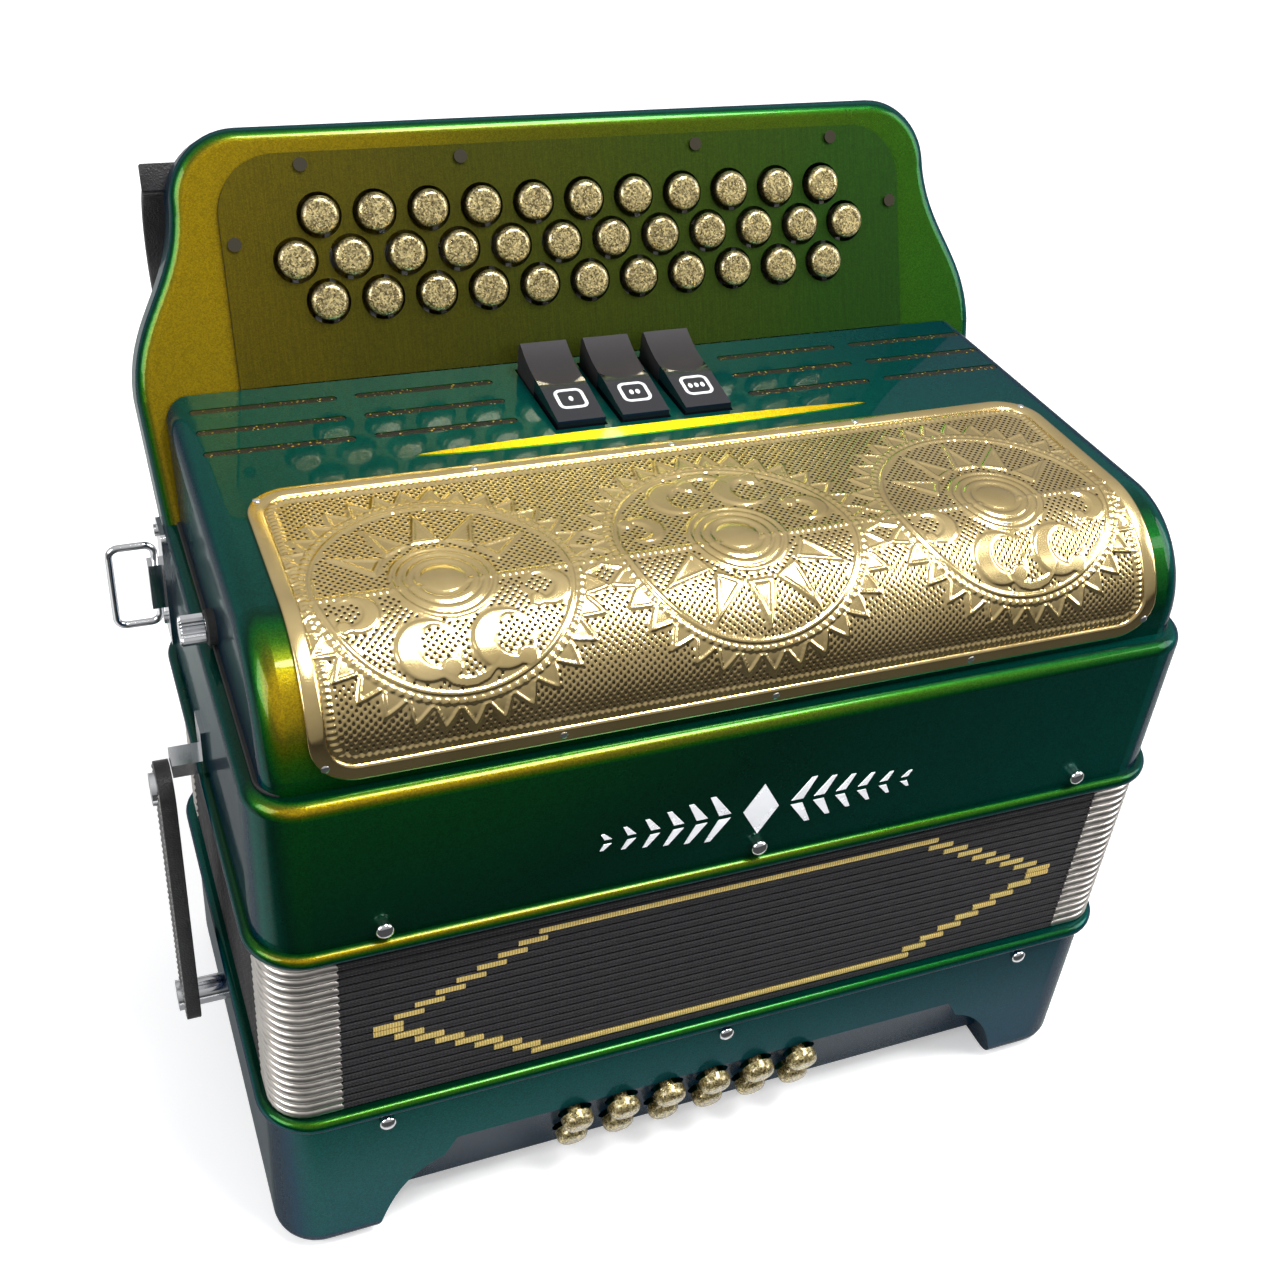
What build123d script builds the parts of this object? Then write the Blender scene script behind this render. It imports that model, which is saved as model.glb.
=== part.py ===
from build123d import *

import os
from math import atan2, cos, radians, sin, tan

os.makedirs("parts", exist_ok=True)

# Three-row diatonic button accordion standing on its bass feet, in millimetres.
# +X runs along the keyboard, -Y is the grille side, +Z runs from bass to treble.

# ---- Driving dimensions: the two wooden cases -------------------------------
case_width = 317.0  # outer width of both cases along X
case_depth = 172.0  # outer depth of both cases along Y
case_corner = 16.0  # radius of the upright case corners
case_wall = 10.0  # wooden case wall
bead_out = 3.0  # how far the half-round beads stand out
bead_height = 5.0
bead_round = 2.3
fit_gap = 0.3  # between pieces of different bodies

bass_height = 73.0  # floor to the bass rim
bellows_length = 72.0  # closed bellows
tray_height = 61.0  # treble rim to the lip
lip_round = 4.0
bass_rim_z = bass_height
treble_rim_z = bass_rim_z + bellows_length
lip_z = treble_rim_z + tray_height

# ---- Driving dimensions: keyboard -------------------------------------------
button_pitch = 18.9  # along X in one row
row_pitch = 14.15  # between rows along the slope
board_lean = 23.4  # degrees back from upright
board_thickness = 24.0
board_half_width = 161.0  # at the shoulder beside the grille cover
board_neck_half_width = 142.0
board_top_corner = 24.0
board_edge_round = 5.0
board_top_margin = 29.5  # top row of buttons to the board's top edge
board_shoulder = 28.0  # below the lowest row
board_foot = 80.0  # lowest row down to the board's hidden foot
plate_thickness = 1.6
plate_half_width = 127.5
plate_top_margin = 20.5  # top row of buttons to the plate's top edge
plate_foot = 26.5  # lowest row to the plate's foot, on the grille cover
plate_corner = 20.0
key_pocket_half_width = 118.0
key_pocket_depth = 20.0
key_pocket_top_margin = 14.0  # top row to the pocket's top
row_low_back = 180.4  # lowest row, back from the front of the beads
row_low_z = 270.5
cap_diameter = 12.8
cap_gap = 1.2  # ring around each cap in the plate
cap_stand = 1.5  # straight side above the plate
cap_dome = 2.3
cap_tuck = 1.5  # how far the cap reaches below the plate's face
post_diameter = 3.4
lever_width = 2.0
lever_height = 5.0
lever_depth = 8.0  # lever and axle below the plate's face
foot_height = 5.0
axle_diameter = 3.0
axle_fit = 0.05  # running clearance of hub on axle, on the radius
hub_diameter = 8.0
axle_below_row = 50.0  # lowest row to the lever axle, along the slope
pallet_width = 13.0
pallet_length = 20.0
pallet_thickness = 4.0
pallet_reach = (96.0, 68.0, 40.0)  # axle to pallet for rows 1, 2 and 3
row_counts = (11, 12, 11)
pan_z = 200.0  # top face of the pallet board
pan_thickness = 5.0
pan_hole = (8.0, 12.0)

# ---- Driving dimensions: grille cover and grille ----------------------------
cover_half_width = 153.0
cover_setback = 6.5  # case face to the cover's front face
cover_top_z = 246.0
cover_round = 35.0
cover_wall = 3.0
cover_end_round = 8.0
cover_inner_round = 5.0
grille_half_width = 140.0
grille_rear = 103.0  # back from the front of the beads
grille_foot_z = 208.5
grille_thickness = 1.4
grille_corner = 14.0
slot_width = 3.4
slot_length = 48.7
slot_inner_x = 43.0
slot_gap = 6.1
slot_rows_back = (129.5, 143.5, 157.5)
crest_length = 165.0
crest_width = 7.0
crest_height = 2.4
crest_back = 114.0
switch_width = 17.0
switch_pitch = 23.3
switch_front = 120.5
switch_rear = 164.0
switch_gap = 0.8
switch_low = 2.6  # front end above the cover
switch_high = 11.0  # rear end above the cover
switch_keel = 9.0  # depth below the cover's top face
switch_pivot_back = 143.0
switch_pivot_drop = 6.0
switch_axle_diameter = 3.0
switch_axle_past = 6.0  # axle past the outer tabs, at each end
switch_flat_end = 2.0  # flat ends this far in front of the pivot
switch_flat_rise = 3.2
switch_scoop = 45.0  # radius of the finger rest
switch_bevel = 1.5

# ---- Driving dimensions: bass end -------------------------------------------
foot_inner = 126.0  # inner edge of each foot at the floor
foot_reach = 102.0  # where the foot's inner sweep meets the bass board
foot_sweep_z = 36.0
foot_corner = 12.0
bass_floor_z = 11.0  # underside of the bass board
facet_top_z = 44.0
facet_back = 11.0
bass_button_pitch = 17.7
bass_button_offset = -9.8
bass_rows_z = (38.5, 26.0)
bass_cap_diameter = 11.5
bass_cap_height = 5.0
bass_cap_round = 3.0
bass_stem_diameter = 5.0
bass_cap_gap = 0.55  # ring around each cap, which sinks into its hole
bass_stem_inside = 16.0
bass_cap_stand = 1.8
air_button_size = (9.0, 16.0)
air_button_back = 52.0
air_button_z = 42.0
air_button_stand = 6.0
air_button_inside = 3.0  # past the wall, inside the case
air_button_round = 1.5
air_button_clear = 0.4  # around the button in its hole
pad_diameter = 11.0
pad_offset = (142.0, 62.0)  # pads from the middle of the case

# ---- Driving dimensions: bellows and straps ---------------------------------
fold_count = 21
fold_depth = 15.0
fold_inner_corner = 4.0
bellows_inset = 0.8  # case face to the fold edges
corner_metal = 0.6
corner_leg = 22.0
corner_height = 2.7
strap_width = 20.0
strap_thickness = 5.0
strap_back = 95.0
strap_low_z = 33.0
strap_high_z = 152.0
strap_end = 9.0  # each end to its snap or anchor
strap_stand = 11.5  # case face to the strap's inner face
bail_back = 160.0
bail_z = 180.0
bail_height = 32.0
bail_out = 15.0
bail_wire = 2.6
bail_stand = 3.8  # case face to the hinge leg
bail_sleeve = 18.0
bail_sleeve_depth = 5.6
bail_corner = 3.5
bracket_plate = (16.0, 46.0, 1.6)
bracket_corner = 3.0
bracket_screw = (4.6, 18.5)  # screws from the bail, along Y and Z
bracket_screw_radius = 2.2
bracket_screw_stand = 1.0
hand_strap_half_length = 106.0
hand_strap_width = 62.0
hand_strap_thickness = 2.6
hand_strap_drop = 8.2
hand_strap_back = 92.0

thumb_strap_width = 18.0
thumb_strap_x = -139.0
thumb_strap_thickness = 2.6
thumb_low_s = -4.0
thumb_high_s = 40.0
thumb_bulge = 17.0
thumb_tab = 9.0

# ---- Derived sizes ----------------------------------------------------------
cap_hole = cap_diameter + 2 * cap_gap
bass_hole = bass_cap_diameter + 2 * bass_cap_gap
lean = radians(board_lean)
board_top = row_pitch * 2 + board_top_margin
wing_back = plate_thickness + board_thickness
thumb_lift = wing_back + thumb_strap_thickness / 2
thumb_mid_s = (thumb_low_s + thumb_high_s) / 2
thumb_chord = thumb_high_s - thumb_low_s
thumb_radius = (thumb_chord**2 / 4 + thumb_bulge**2) / (2 * thumb_bulge)
thumb_reach = (
    row_low_back
    + thumb_mid_s * sin(lean)
    + (thumb_lift + thumb_bulge - thumb_radius) * cos(lean)
    + thumb_radius
    + thumb_strap_thickness / 2
)
facet_lean = atan2(facet_back, facet_top_z - bass_floor_z)
bass_cap_reach = (
    (bass_cap_stand + bass_cap_height - bass_cap_round) * cos(facet_lean)
    + (bass_cap_diameter / 2 - bass_cap_round) * sin(facet_lean)
    + bass_cap_round
    - (facet_top_z - bass_rows_z[0]) * tan(facet_lean)
    - bead_out
)
# Y of the front of the beads: the thumb loop is rearmost and the bass buttons foremost.
front = (bass_cap_reach - thumb_reach) / 2
case_front = front + bead_out
case_y = case_front + case_depth / 2
case_rear = case_front + case_depth
half_width = case_width / 2
inner_width = case_width - 2 * case_wall
inner_depth = case_depth - 2 * case_wall
inner_corner = case_corner - case_wall / 2
board = Plane(
    origin=(0, front + row_low_back, row_low_z), x_dir=(1, 0, 0), z_dir=(0, -cos(lean), sin(lean))
)
plate_top = row_pitch * 2 + plate_top_margin
pocket_top = row_pitch * 2 + key_pocket_top_margin
cover_front = case_front + cover_setback


def board_y(z):
    """Y of the plate's face at height z."""
    return front + row_low_back + (z - row_low_z) * tan(lean)


def board_point(s, depth):
    """Y and Z of a point s up the slope from the lowest row, at a depth below the plate's face."""
    y = front + row_low_back + s * sin(lean) + depth * cos(lean)
    z = row_low_z + s * cos(lean) - depth * sin(lean)
    return y, z


def finish(block, label):
    """Label a finished piece and write it out under the same name."""
    block.part.label = label
    export_step(block.part, f"parts/{label}.step")


# ---- Treble case: a wooden tray with the leaning keyboard wing --------------
board_out = Axis(board.origin, board.z_dir)
neck_s = board_top - board_top_corner
with BuildPart() as wing:
    with BuildSketch(board.offset(-plate_thickness)):
        with BuildLine():
            edge = Line((0, board_top), (board_neck_half_width - board_top_corner, board_top))
            corner = RadiusArc(edge @ 1, (board_neck_half_width, neck_s), board_top_corner)
            ogee = Spline(
                corner @ 1, (board_half_width, -board_shoulder), tangents=[(0.05, -1), (0, -1)]
            )
            side = Line(ogee @ 1, (half_width - 1, -board_foot))
            foot = Line(side @ 1, (0, -board_foot))
            mirror(about=Plane.YZ)
        make_face()
    extrude(amount=-board_thickness)
    for face in (faces().sort_by(board_out)[-1], faces().sort_by(board_out)[0]):
        rim = face.edges().filter_by(
            lambda e: board.to_local_coords(e.center()).Y > -board_foot + 1
        )
        fillet(rim, board_edge_round)

with BuildPart() as bead:
    with BuildSketch(Plane.XY):
        with Locations((0, case_y)):
            RectangleRounded(
                case_width + 2 * bead_out, case_depth + 2 * bead_out, case_corner + bead_out
            )
    extrude(amount=bead_height)
    fillet(faces().sort_by(Axis.Z)[-1].edges(), bead_round)
    fillet(faces().sort_by(Axis.Z)[0].edges(), bead_round)

with BuildPart() as treble_casing:
    with BuildSketch(Plane.XY.offset(treble_rim_z)):
        with Locations((0, case_y)):
            RectangleRounded(case_width, case_depth, case_corner)
    extrude(amount=tray_height)
    fillet(faces().sort_by(Axis.Z)[-1].edges(), lip_round)
    with Locations((0, 0, treble_rim_z)):
        add(bead.part)
    add(wing.part)
    with BuildSketch(Plane.XY.offset(treble_rim_z)):
        with Locations((0, case_y)):
            RectangleRounded(inner_width, inner_depth, inner_corner)
    extrude(amount=tray_height, mode=Mode.SUBTRACT)
    with BuildSketch(board.offset(-plate_thickness)):
        with Locations((0, (pocket_top - board_foot) / 2)):
            Rectangle(2 * key_pocket_half_width, pocket_top + board_foot)
    extrude(amount=-key_pocket_depth, mode=Mode.SUBTRACT)
finish(treble_casing, "treble_casing")


# ---- Keyboard plate with its thirty-four button holes -----------------------
def row_places(row):
    """Button centres of one row on the keyboard plane; row 0 is the highest."""
    count = row_counts[row]
    s = row_pitch * (2 - row)
    return [((i - (count - 1) / 2) * button_pitch, s) for i in range(count)]


plate_screw_inset = 4.0
plate_screw_x = (-99.0, -44.0, 44.0, 99.0)
plate_screw_side_s = 20.5
plate_screw_side_x = plate_half_width - plate_screw_inset
screw_places = [(x, plate_top - plate_screw_inset) for x in plate_screw_x]
screw_places += [(-plate_screw_side_x, plate_screw_side_s), (plate_screw_side_x, plate_screw_side_s)]
plate_screw_hole = 2.4
plate_screw_head = 4.6
plate_screw_stand = 0.9
with BuildPart() as fingerboard_plate:
    with BuildSketch(board):
        with Locations((0, (plate_top - plate_foot) / 2)):
            RectangleRounded(2 * plate_half_width, plate_top + plate_foot, plate_corner)
        with Locations((0, -plate_foot + plate_corner / 2)):
            Rectangle(2 * plate_half_width, plate_corner)
        for row in range(len(row_counts)):
            with Locations(*row_places(row)):
                Circle(cap_hole / 2, mode=Mode.SUBTRACT)
        with Locations(*screw_places):
            Circle(plate_screw_hole / 2, mode=Mode.SUBTRACT)
    extrude(amount=-plate_thickness)
finish(fingerboard_plate, "fingerboard_plate")

# ---- Pallet board, reed blocks and lever axles ------------------------------
axle_y, axle_z = board_point(-axle_below_row, lever_depth)


def lever_places(row):
    """X of each lever of a row: rows 1 and 3 step a sixth of the pitch to opposite sides."""
    shift = (button_pitch / 6, 0.0, -button_pitch / 6)[row]
    return [x + shift for x, _ in row_places(row)]


with BuildPart() as pallet_board:
    with BuildSketch(Plane.XY.offset(pan_z)):
        with Locations((0, case_y)):
            RectangleRounded(inner_width, inner_depth, inner_corner)
        for row in range(len(row_counts)):
            with Locations(*[(x, axle_y - pallet_reach[row]) for x in lever_places(row)]):
                Rectangle(*pan_hole, mode=Mode.SUBTRACT)
    extrude(amount=-pan_thickness)
finish(pallet_board, "pallet_board")

reed_block_size = (226.0, 20.0, 40.0)
reed_slots = 12
reed_slot = (9.0, 3.0, 22.0)
reed_slot_z = pan_z - pan_thickness - reed_block_size[2] / 2
with BuildPart() as treble_reed_blocks:
    for reach in pallet_reach:
        with BuildSketch(Plane.XY.offset(pan_z - pan_thickness)):
            with Locations((0, axle_y - reach)):
                Rectangle(reed_block_size[0], reed_block_size[1])
        extrude(amount=-reed_block_size[2])
        for side in (-1, 1):
            centre = (0, axle_y - reach + side * reed_block_size[1] / 2, reed_slot_z)
            with Locations(centre):
                with GridLocations(reed_block_size[0] / reed_slots, 0, reed_slots, 1):
                    Box(reed_slot[0], 2 * reed_slot[1], reed_slot[2], mode=Mode.SUBTRACT)
finish(treble_reed_blocks, "treble_reed_blocks")

switch_pivot_y = front + switch_pivot_back
switch_pivot_z = cover_top_z - switch_pivot_drop
switch_axle_length = 2 * switch_pitch + switch_width + 2 * switch_axle_past
with BuildPart() as axles:
    with BuildSketch(Plane.YZ.offset(-key_pocket_half_width)):
        with Locations((axle_y, axle_z)):
            Circle(axle_diameter / 2)
    extrude(amount=2 * key_pocket_half_width)
    with BuildSketch(Plane.YZ.offset(-switch_axle_length / 2)):
        with Locations((switch_pivot_y, switch_pivot_z)):
            Circle(switch_axle_diameter / 2)
    extrude(amount=switch_axle_length)
finish(axles, "axles")


# ---- Treble buttons: cap, post, bell-crank lever and pallet -----------------
def treble_button(row, index):
    """One button with the lever that carries it and the pallet that it lifts."""
    x, s = row_places(row)[index]
    lever_x = lever_places(row)[index]
    side = Plane.YZ.offset(lever_x - lever_width / 2)
    arm_low = board_point(-axle_below_row, lever_depth)
    arm_high = board_point(s + foot_height / 2, lever_depth)
    pallet_y = axle_y - pallet_reach[row]
    foot_left = min(x - post_diameter / 2, lever_x - lever_width / 2)
    foot_right = max(x + post_diameter / 2, lever_x + lever_width / 2)
    with BuildPart() as button:
        with BuildSketch(board.offset(-cap_tuck)):
            with Locations((x, s)):
                Circle(cap_diameter / 2)
        extrude(amount=cap_tuck + cap_stand + cap_dome)
        fillet(faces().sort_by(board_out)[-1].edges(), cap_dome)
        with BuildSketch(side):
            with BuildLine():
                Line(arm_low, arm_high)
            trace(line_width=lever_height)
            with BuildLine():
                Line(arm_low, (pallet_y - lever_height / 2, axle_z))
            trace(line_width=lever_height)
            with Locations((axle_y, axle_z)):
                Circle(hub_diameter / 2)
            with Locations((pallet_y, (axle_z + pan_z + pallet_thickness) / 2)):
                Rectangle(lever_height, axle_z - pan_z - pallet_thickness)
            with Locations((axle_y, axle_z)):
                Circle(axle_diameter / 2 + axle_fit, mode=Mode.SUBTRACT)
        extrude(amount=lever_width)
        with BuildSketch(Plane.XY.offset(pan_z)):
            with Locations((lever_x, pallet_y)):
                Rectangle(pallet_width, pallet_length)
        extrude(amount=pallet_thickness)
        with BuildSketch(board.offset(-lever_depth - lever_height / 2)):
            with Locations(((foot_left + foot_right) / 2, s)):
                Rectangle(foot_right - foot_left, foot_height)
        extrude(amount=lever_height)
        with BuildSketch(board.offset(-lever_depth)):
            with Locations((x, s)):
                Circle(post_diameter / 2)
        extrude(amount=lever_depth)
    finish(button, f"treble_button_r{row + 1}_{index + 1:02d}")


for row, count in enumerate(row_counts):
    for index in range(count):
        treble_button(row, index)

# ---- Grille cover: a thin shell with sound slots and register openings -------
def cover_block(inset, foot_z, half, end_round):
    """The cover's envelope, moved in by a wall, with its long end edges rounded."""
    front_y = cover_front + inset
    top_z = cover_top_z - inset
    turn = cover_round - inset
    with BuildPart() as block:
        with BuildSketch(Plane.YZ):
            with BuildLine():
                rise = Line((front_y, foot_z), (front_y, top_z - turn))
                bend = RadiusArc(rise @ 1, (front_y + turn, top_z), turn)
                flat = Line(bend @ 1, (board_y(top_z) - fit_gap, top_z))
                Polyline(flat @ 1, (board_y(foot_z) - fit_gap, foot_z), rise @ 0)
            make_face()
        extrude(amount=half, both=True)
        ends = edges().filter_by(
            lambda e: abs(abs(e.center().X) - half) < 0.01
            and e.center().Z > foot_z + 1
            and e.center().Y < board_y(e.center().Z) - 5
        )
        fillet(ends, end_round)
    return block.part


slot_places = []
for back in slot_rows_back:
    for start in (slot_inner_x, slot_inner_x + slot_length + slot_gap):
        slot_places += [(start + slot_length / 2, front + back), (-start - slot_length / 2, front + back)]
switch_places = [(i * switch_pitch, 0) for i in (-1, 0, 1)]
cover_outer = cover_block(0, lip_z, cover_half_width, cover_end_round)
cover_inner = cover_block(
    cover_wall, lip_z - 1, cover_half_width - cover_wall, cover_inner_round
)
with BuildPart() as grille_cover:
    add(cover_outer)
    with BuildSketch(Plane.XY.offset(cover_top_z)):
        with Locations((0, front + crest_back)):
            Ellipse(crest_length / 2, crest_width / 2)
    extrude(amount=crest_height, taper=60)
    add(cover_inner, mode=Mode.SUBTRACT)
    with BuildSketch(Plane.XY.offset(cover_top_z)):
        with Locations(*slot_places):
            SlotOverall(slot_length, slot_width)
        with Locations(*[(x, front + (switch_front + switch_rear) / 2) for x, _ in switch_places]):
            Rectangle(switch_width + 2 * switch_gap, switch_rear - switch_front + 2 * switch_gap)
    extrude(amount=-cover_wall - 1, mode=Mode.SUBTRACT)
finish(grille_cover, "grille_cover")

# ---- Grille plate: a thin sheet that follows the cover's rounded front --------
with BuildPart() as grille_plate:
    with BuildSketch(Plane.YZ):
        with BuildLine():
            rise = Line((cover_front, grille_foot_z), (cover_front, cover_top_z - cover_round))
            bend = RadiusArc(rise @ 1, (cover_front + cover_round, cover_top_z), cover_round)
            flat = Line(bend @ 1, (front + grille_rear, cover_top_z))
            up = Line(flat @ 1, flat @ 1 + (0, grille_thickness))
            back = Line(up @ 1, bend @ 1 + (0, grille_thickness))
            skin = RadiusArc(back @ 1, rise @ 1 - (grille_thickness, 0), -cover_round - grille_thickness)
            fall = Line(skin @ 1, rise @ 0 - (grille_thickness, 0))
            Line(fall @ 1, rise @ 0)
        make_face()
    extrude(amount=grille_half_width, both=True)
    with BuildSketch(Plane.XY.offset(grille_foot_z)):
        with Locations((0, front + grille_rear - case_depth / 2)):
            RectangleRounded(2 * grille_half_width, case_depth, grille_corner)
    extrude(amount=case_depth, mode=Mode.INTERSECT)
    with BuildSketch(Plane.XZ.offset(-front - case_depth)):
        with Locations((0, grille_foot_z + case_depth / 2)):
            RectangleRounded(2 * grille_half_width, case_depth, grille_corner)
    extrude(amount=2 * case_depth, mode=Mode.INTERSECT)
finish(grille_plate, "grille_plate")


# ---- Register switches: rocking tabs on their own axle -----------------------
def register_switch(index):
    """One rocking tab with a flat front half and a scooped finger rest behind it."""
    x = switch_places[index][0]
    front_y = front + switch_front
    rear_y = front + switch_rear
    keel_z = cover_top_z - switch_keel
    with BuildPart() as switch:
        with BuildSketch(Plane.YZ.offset(x - switch_width / 2)):
            with BuildLine():
                nose = Line((front_y, keel_z), (front_y, cover_top_z + switch_low))
                peak = (switch_pivot_y - switch_flat_end, cover_top_z + switch_low + switch_flat_rise)
                flat = Line(nose @ 1, peak)
                brow = (rear_y - switch_bevel, cover_top_z + switch_high)
                scoop = RadiusArc(flat @ 1, brow, -switch_scoop)
                back = Line(scoop @ 1, (rear_y, cover_top_z + switch_high - switch_bevel))
                Polyline(back @ 1, (rear_y, keel_z), nose @ 0)
            make_face()
            with Locations((switch_pivot_y, switch_pivot_z)):
                Circle(switch_axle_diameter / 2 + axle_fit, mode=Mode.SUBTRACT)
        extrude(amount=switch_width)
    finish(switch, f"register_switch_{index + 1}")


for index in range(len(switch_places)):
    register_switch(index)

# ---- Bass case: side feet, a raised floor and a sloping front facet -----------
foot_clear = 1.0  # rubber pads stand this far below the wood
foot_edge_round = 8.0
foot_cut_slope = 8.0
bass_floor = 8.0
facet_wall = 21.0
bass_wall_z = bass_floor_z + bass_floor
facet = Plane(
    origin=(0, case_front, facet_top_z), x_dir=(1, 0, 0), z_dir=(0, -cos(facet_lean), -sin(facet_lean))
)
past = 6.0  # how far cutting shapes run past the wood


def facet_s(z):
    """Distance of height z along the facet, from its upper edge."""
    return (z - facet_top_z) / cos(facet_lean)


bass_columns = [bass_button_offset + (i - 2.5) * bass_button_pitch for i in range(6)]
with BuildPart() as foot_gap:
    with BuildSketch(Plane.XZ.offset(-case_rear - past)):
        with BuildLine():
            floor = Line((0, -past), (foot_inner, -past))
            drop = Line(floor @ 1, (foot_inner, foot_clear))
            sweep_in = Spline(
                drop @ 1, (foot_reach, foot_sweep_z), tangents=[(-0.25, 1), (-1, 0.35)]
            )
            rise = Line(sweep_in @ 1, (foot_reach - foot_cut_slope, facet_top_z + past))
            Line(rise @ 1, (0, facet_top_z + past))
            mirror(about=Plane.YZ)
        make_face()
    extrude(amount=case_depth + 2 * past)
    with BuildSketch(Plane.YZ.offset(-half_width)):
        with BuildLine():
            Polyline(
                (front - past, -past), (front - past, facet_top_z), (case_front, facet_top_z),
                (case_front + facet_back, bass_floor_z), (case_rear + past, bass_floor_z),
                (case_rear + past, -past), (front - past, -past),
            )
        make_face()
    extrude(amount=case_width, mode=Mode.INTERSECT)

pad_places = [(i * pad_offset[0], case_y + j * pad_offset[1]) for i in (-1, 1) for j in (-1, 1)]
pad_socket = 4.0
with BuildPart() as bass_casing:
    with BuildSketch(Plane.XY.offset(foot_clear)):
        with Locations((0, case_y)):
            RectangleRounded(case_width, case_depth, case_corner)
    extrude(amount=bass_height - foot_clear)
    fillet(faces().sort_by(Axis.Z)[0].edges(), foot_edge_round)
    with Locations((0, 0, bass_height - bead_height)):
        add(bead.part)
    add(foot_gap.part, mode=Mode.SUBTRACT)
    with BuildSketch(Plane.XY.offset(bass_wall_z)):
        with Locations((0, case_y + (facet_wall - case_wall) / 2)):
            RectangleRounded(inner_width, inner_depth - facet_wall + case_wall, inner_corner)
    extrude(amount=bass_height, mode=Mode.SUBTRACT)
    with BuildSketch(Plane.XY.offset(facet_top_z)):
        with Locations((0, case_y)):
            RectangleRounded(inner_width, inner_depth, inner_corner)
    extrude(amount=bass_height, mode=Mode.SUBTRACT)
    with BuildSketch(facet):
        for z in bass_rows_z:
            with Locations(*[(x, facet_s(z)) for x in bass_columns]):
                Circle(bass_hole / 2)
    extrude(amount=-facet_wall - past, mode=Mode.SUBTRACT)
    with BuildSketch(Plane.YZ.offset(half_width - case_wall - 1)):
        with Locations((front + air_button_back, air_button_z)):
            SlotOverall(*[size + 2 * air_button_clear for size in reversed(air_button_size)])
    extrude(amount=case_wall + 2, mode=Mode.SUBTRACT)
    with BuildSketch(Plane.XY.offset(foot_clear)):
        with Locations(*pad_places):
            Circle(pad_diameter / 2)
    extrude(amount=pad_socket, mode=Mode.SUBTRACT)
finish(bass_casing, "bass_casing")

with BuildPart() as bass_feet:
    with BuildSketch(Plane.XY):
        with Locations(*pad_places):
            Circle(pad_diameter / 2)
    extrude(amount=foot_clear + pad_socket)
    chamfer(edges().group_by(Axis.Z)[0], 0.5)
finish(bass_feet, "bass_feet")


def bass_button_row(z, label):
    """One row of six mushroom-headed buttons on their stems."""
    with BuildPart() as row:
        with BuildSketch(facet.offset(bass_cap_stand)):
            with Locations(*[(x, facet_s(z)) for x in bass_columns]):
                Circle(bass_cap_diameter / 2)
        extrude(amount=bass_cap_height)
        fillet(edges().group_by(Axis(facet.origin, facet.z_dir))[-1], bass_cap_round)
        with BuildSketch(facet.offset(bass_cap_stand)):
            with Locations(*[(x, facet_s(z)) for x in bass_columns]):
                Circle(bass_stem_diameter / 2)
        extrude(amount=-bass_cap_stand - bass_stem_inside)
    finish(row, label)


bass_button_row(bass_rows_z[0], "bass_buttons_upper_row")
bass_button_row(bass_rows_z[1], "bass_buttons_lower_row")

with BuildPart() as air_button:
    with BuildSketch(Plane.YZ.offset(half_width + air_button_stand)):
        with Locations((front + air_button_back, air_button_z)):
            SlotOverall(air_button_size[1], air_button_size[0])
    extrude(amount=-air_button_stand - case_wall - air_button_inside)
    fillet(faces().sort_by(Axis.X)[-1].edges(), air_button_round)
finish(air_button, "air_button")

bass_block = (150.0, 60.0, 30.0)
bass_block_slots = 10
bass_block_slot = (8.0, 12.0, 20.0)
bass_block_y = case_y + 30.0
with BuildPart() as bass_reed_block:
    with BuildSketch(Plane.XY.offset(bass_wall_z)):
        with Locations((0, bass_block_y)):
            Rectangle(bass_block[0], bass_block[1])
    extrude(amount=bass_block[2])
    for side in (-1, 1):
        centre = (0, bass_block_y + side * bass_block[1] / 2, bass_wall_z + bass_block[2] / 2)
        with Locations(centre):
            with GridLocations(bass_block[0] / bass_block_slots, 0, bass_block_slots, 1):
                Box(*bass_block_slot, mode=Mode.SUBTRACT)
finish(bass_reed_block, "bass_reed_block")

# ---- Bellows: the folded tube and its metal corner caps ----------------------
bellows_width = case_width - 2 * bellows_inset
bellows_depth = case_depth - 2 * bellows_inset
bellows_corner = case_corner - bellows_inset
fold_pitch = bellows_length / fold_count
with BuildPart() as bellows_folds:
    with BuildSketch(Plane.XY.offset(bass_rim_z)):
        with Locations((0, case_y)):
            RectangleRounded(bellows_width, bellows_depth, bellows_corner)
            RectangleRounded(
                bellows_width - 2 * fold_depth, bellows_depth - 2 * fold_depth, fold_inner_corner,
                mode=Mode.SUBTRACT,
            )
    extrude(amount=bellows_length)
finish(bellows_folds, "bellows_folds")

with BuildPart() as bellows_corners:
    for fold in range(fold_count):
        low = bass_rim_z + (fold + 0.5) * fold_pitch - corner_height / 2
        with BuildSketch(Plane.XY.offset(low)):
            with Locations((0, case_y)):
                RectangleRounded(
                    bellows_width + 2 * corner_metal, bellows_depth + 2 * corner_metal,
                    bellows_corner + corner_metal,
                )
                RectangleRounded(bellows_width, bellows_depth, bellows_corner, mode=Mode.SUBTRACT)
                Rectangle(bellows_width - 2 * corner_leg, case_depth + past, mode=Mode.SUBTRACT)
                Rectangle(case_width + past, bellows_depth - 2 * corner_leg, mode=Mode.SUBTRACT)
        extrude(amount=corner_height)
finish(bellows_corners, "bellows_corners")

# ---- Straps that hold the bellows shut, one at each end ----------------------
strap_inner_x = half_width + strap_stand
strap_y = front + strap_back
strap_height = strap_high_z - strap_low_z
with BuildPart() as bellows_straps:
    for side in (-1, 1):
        with BuildSketch(Plane.YZ.offset(side * strap_inner_x)):
            with Locations((strap_y, (strap_low_z + strap_high_z) / 2)):
                SlotOverall(strap_height, strap_width, rotation=90)
        extrude(amount=side * strap_thickness)
finish(bellows_straps, "bellows_straps")

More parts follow.
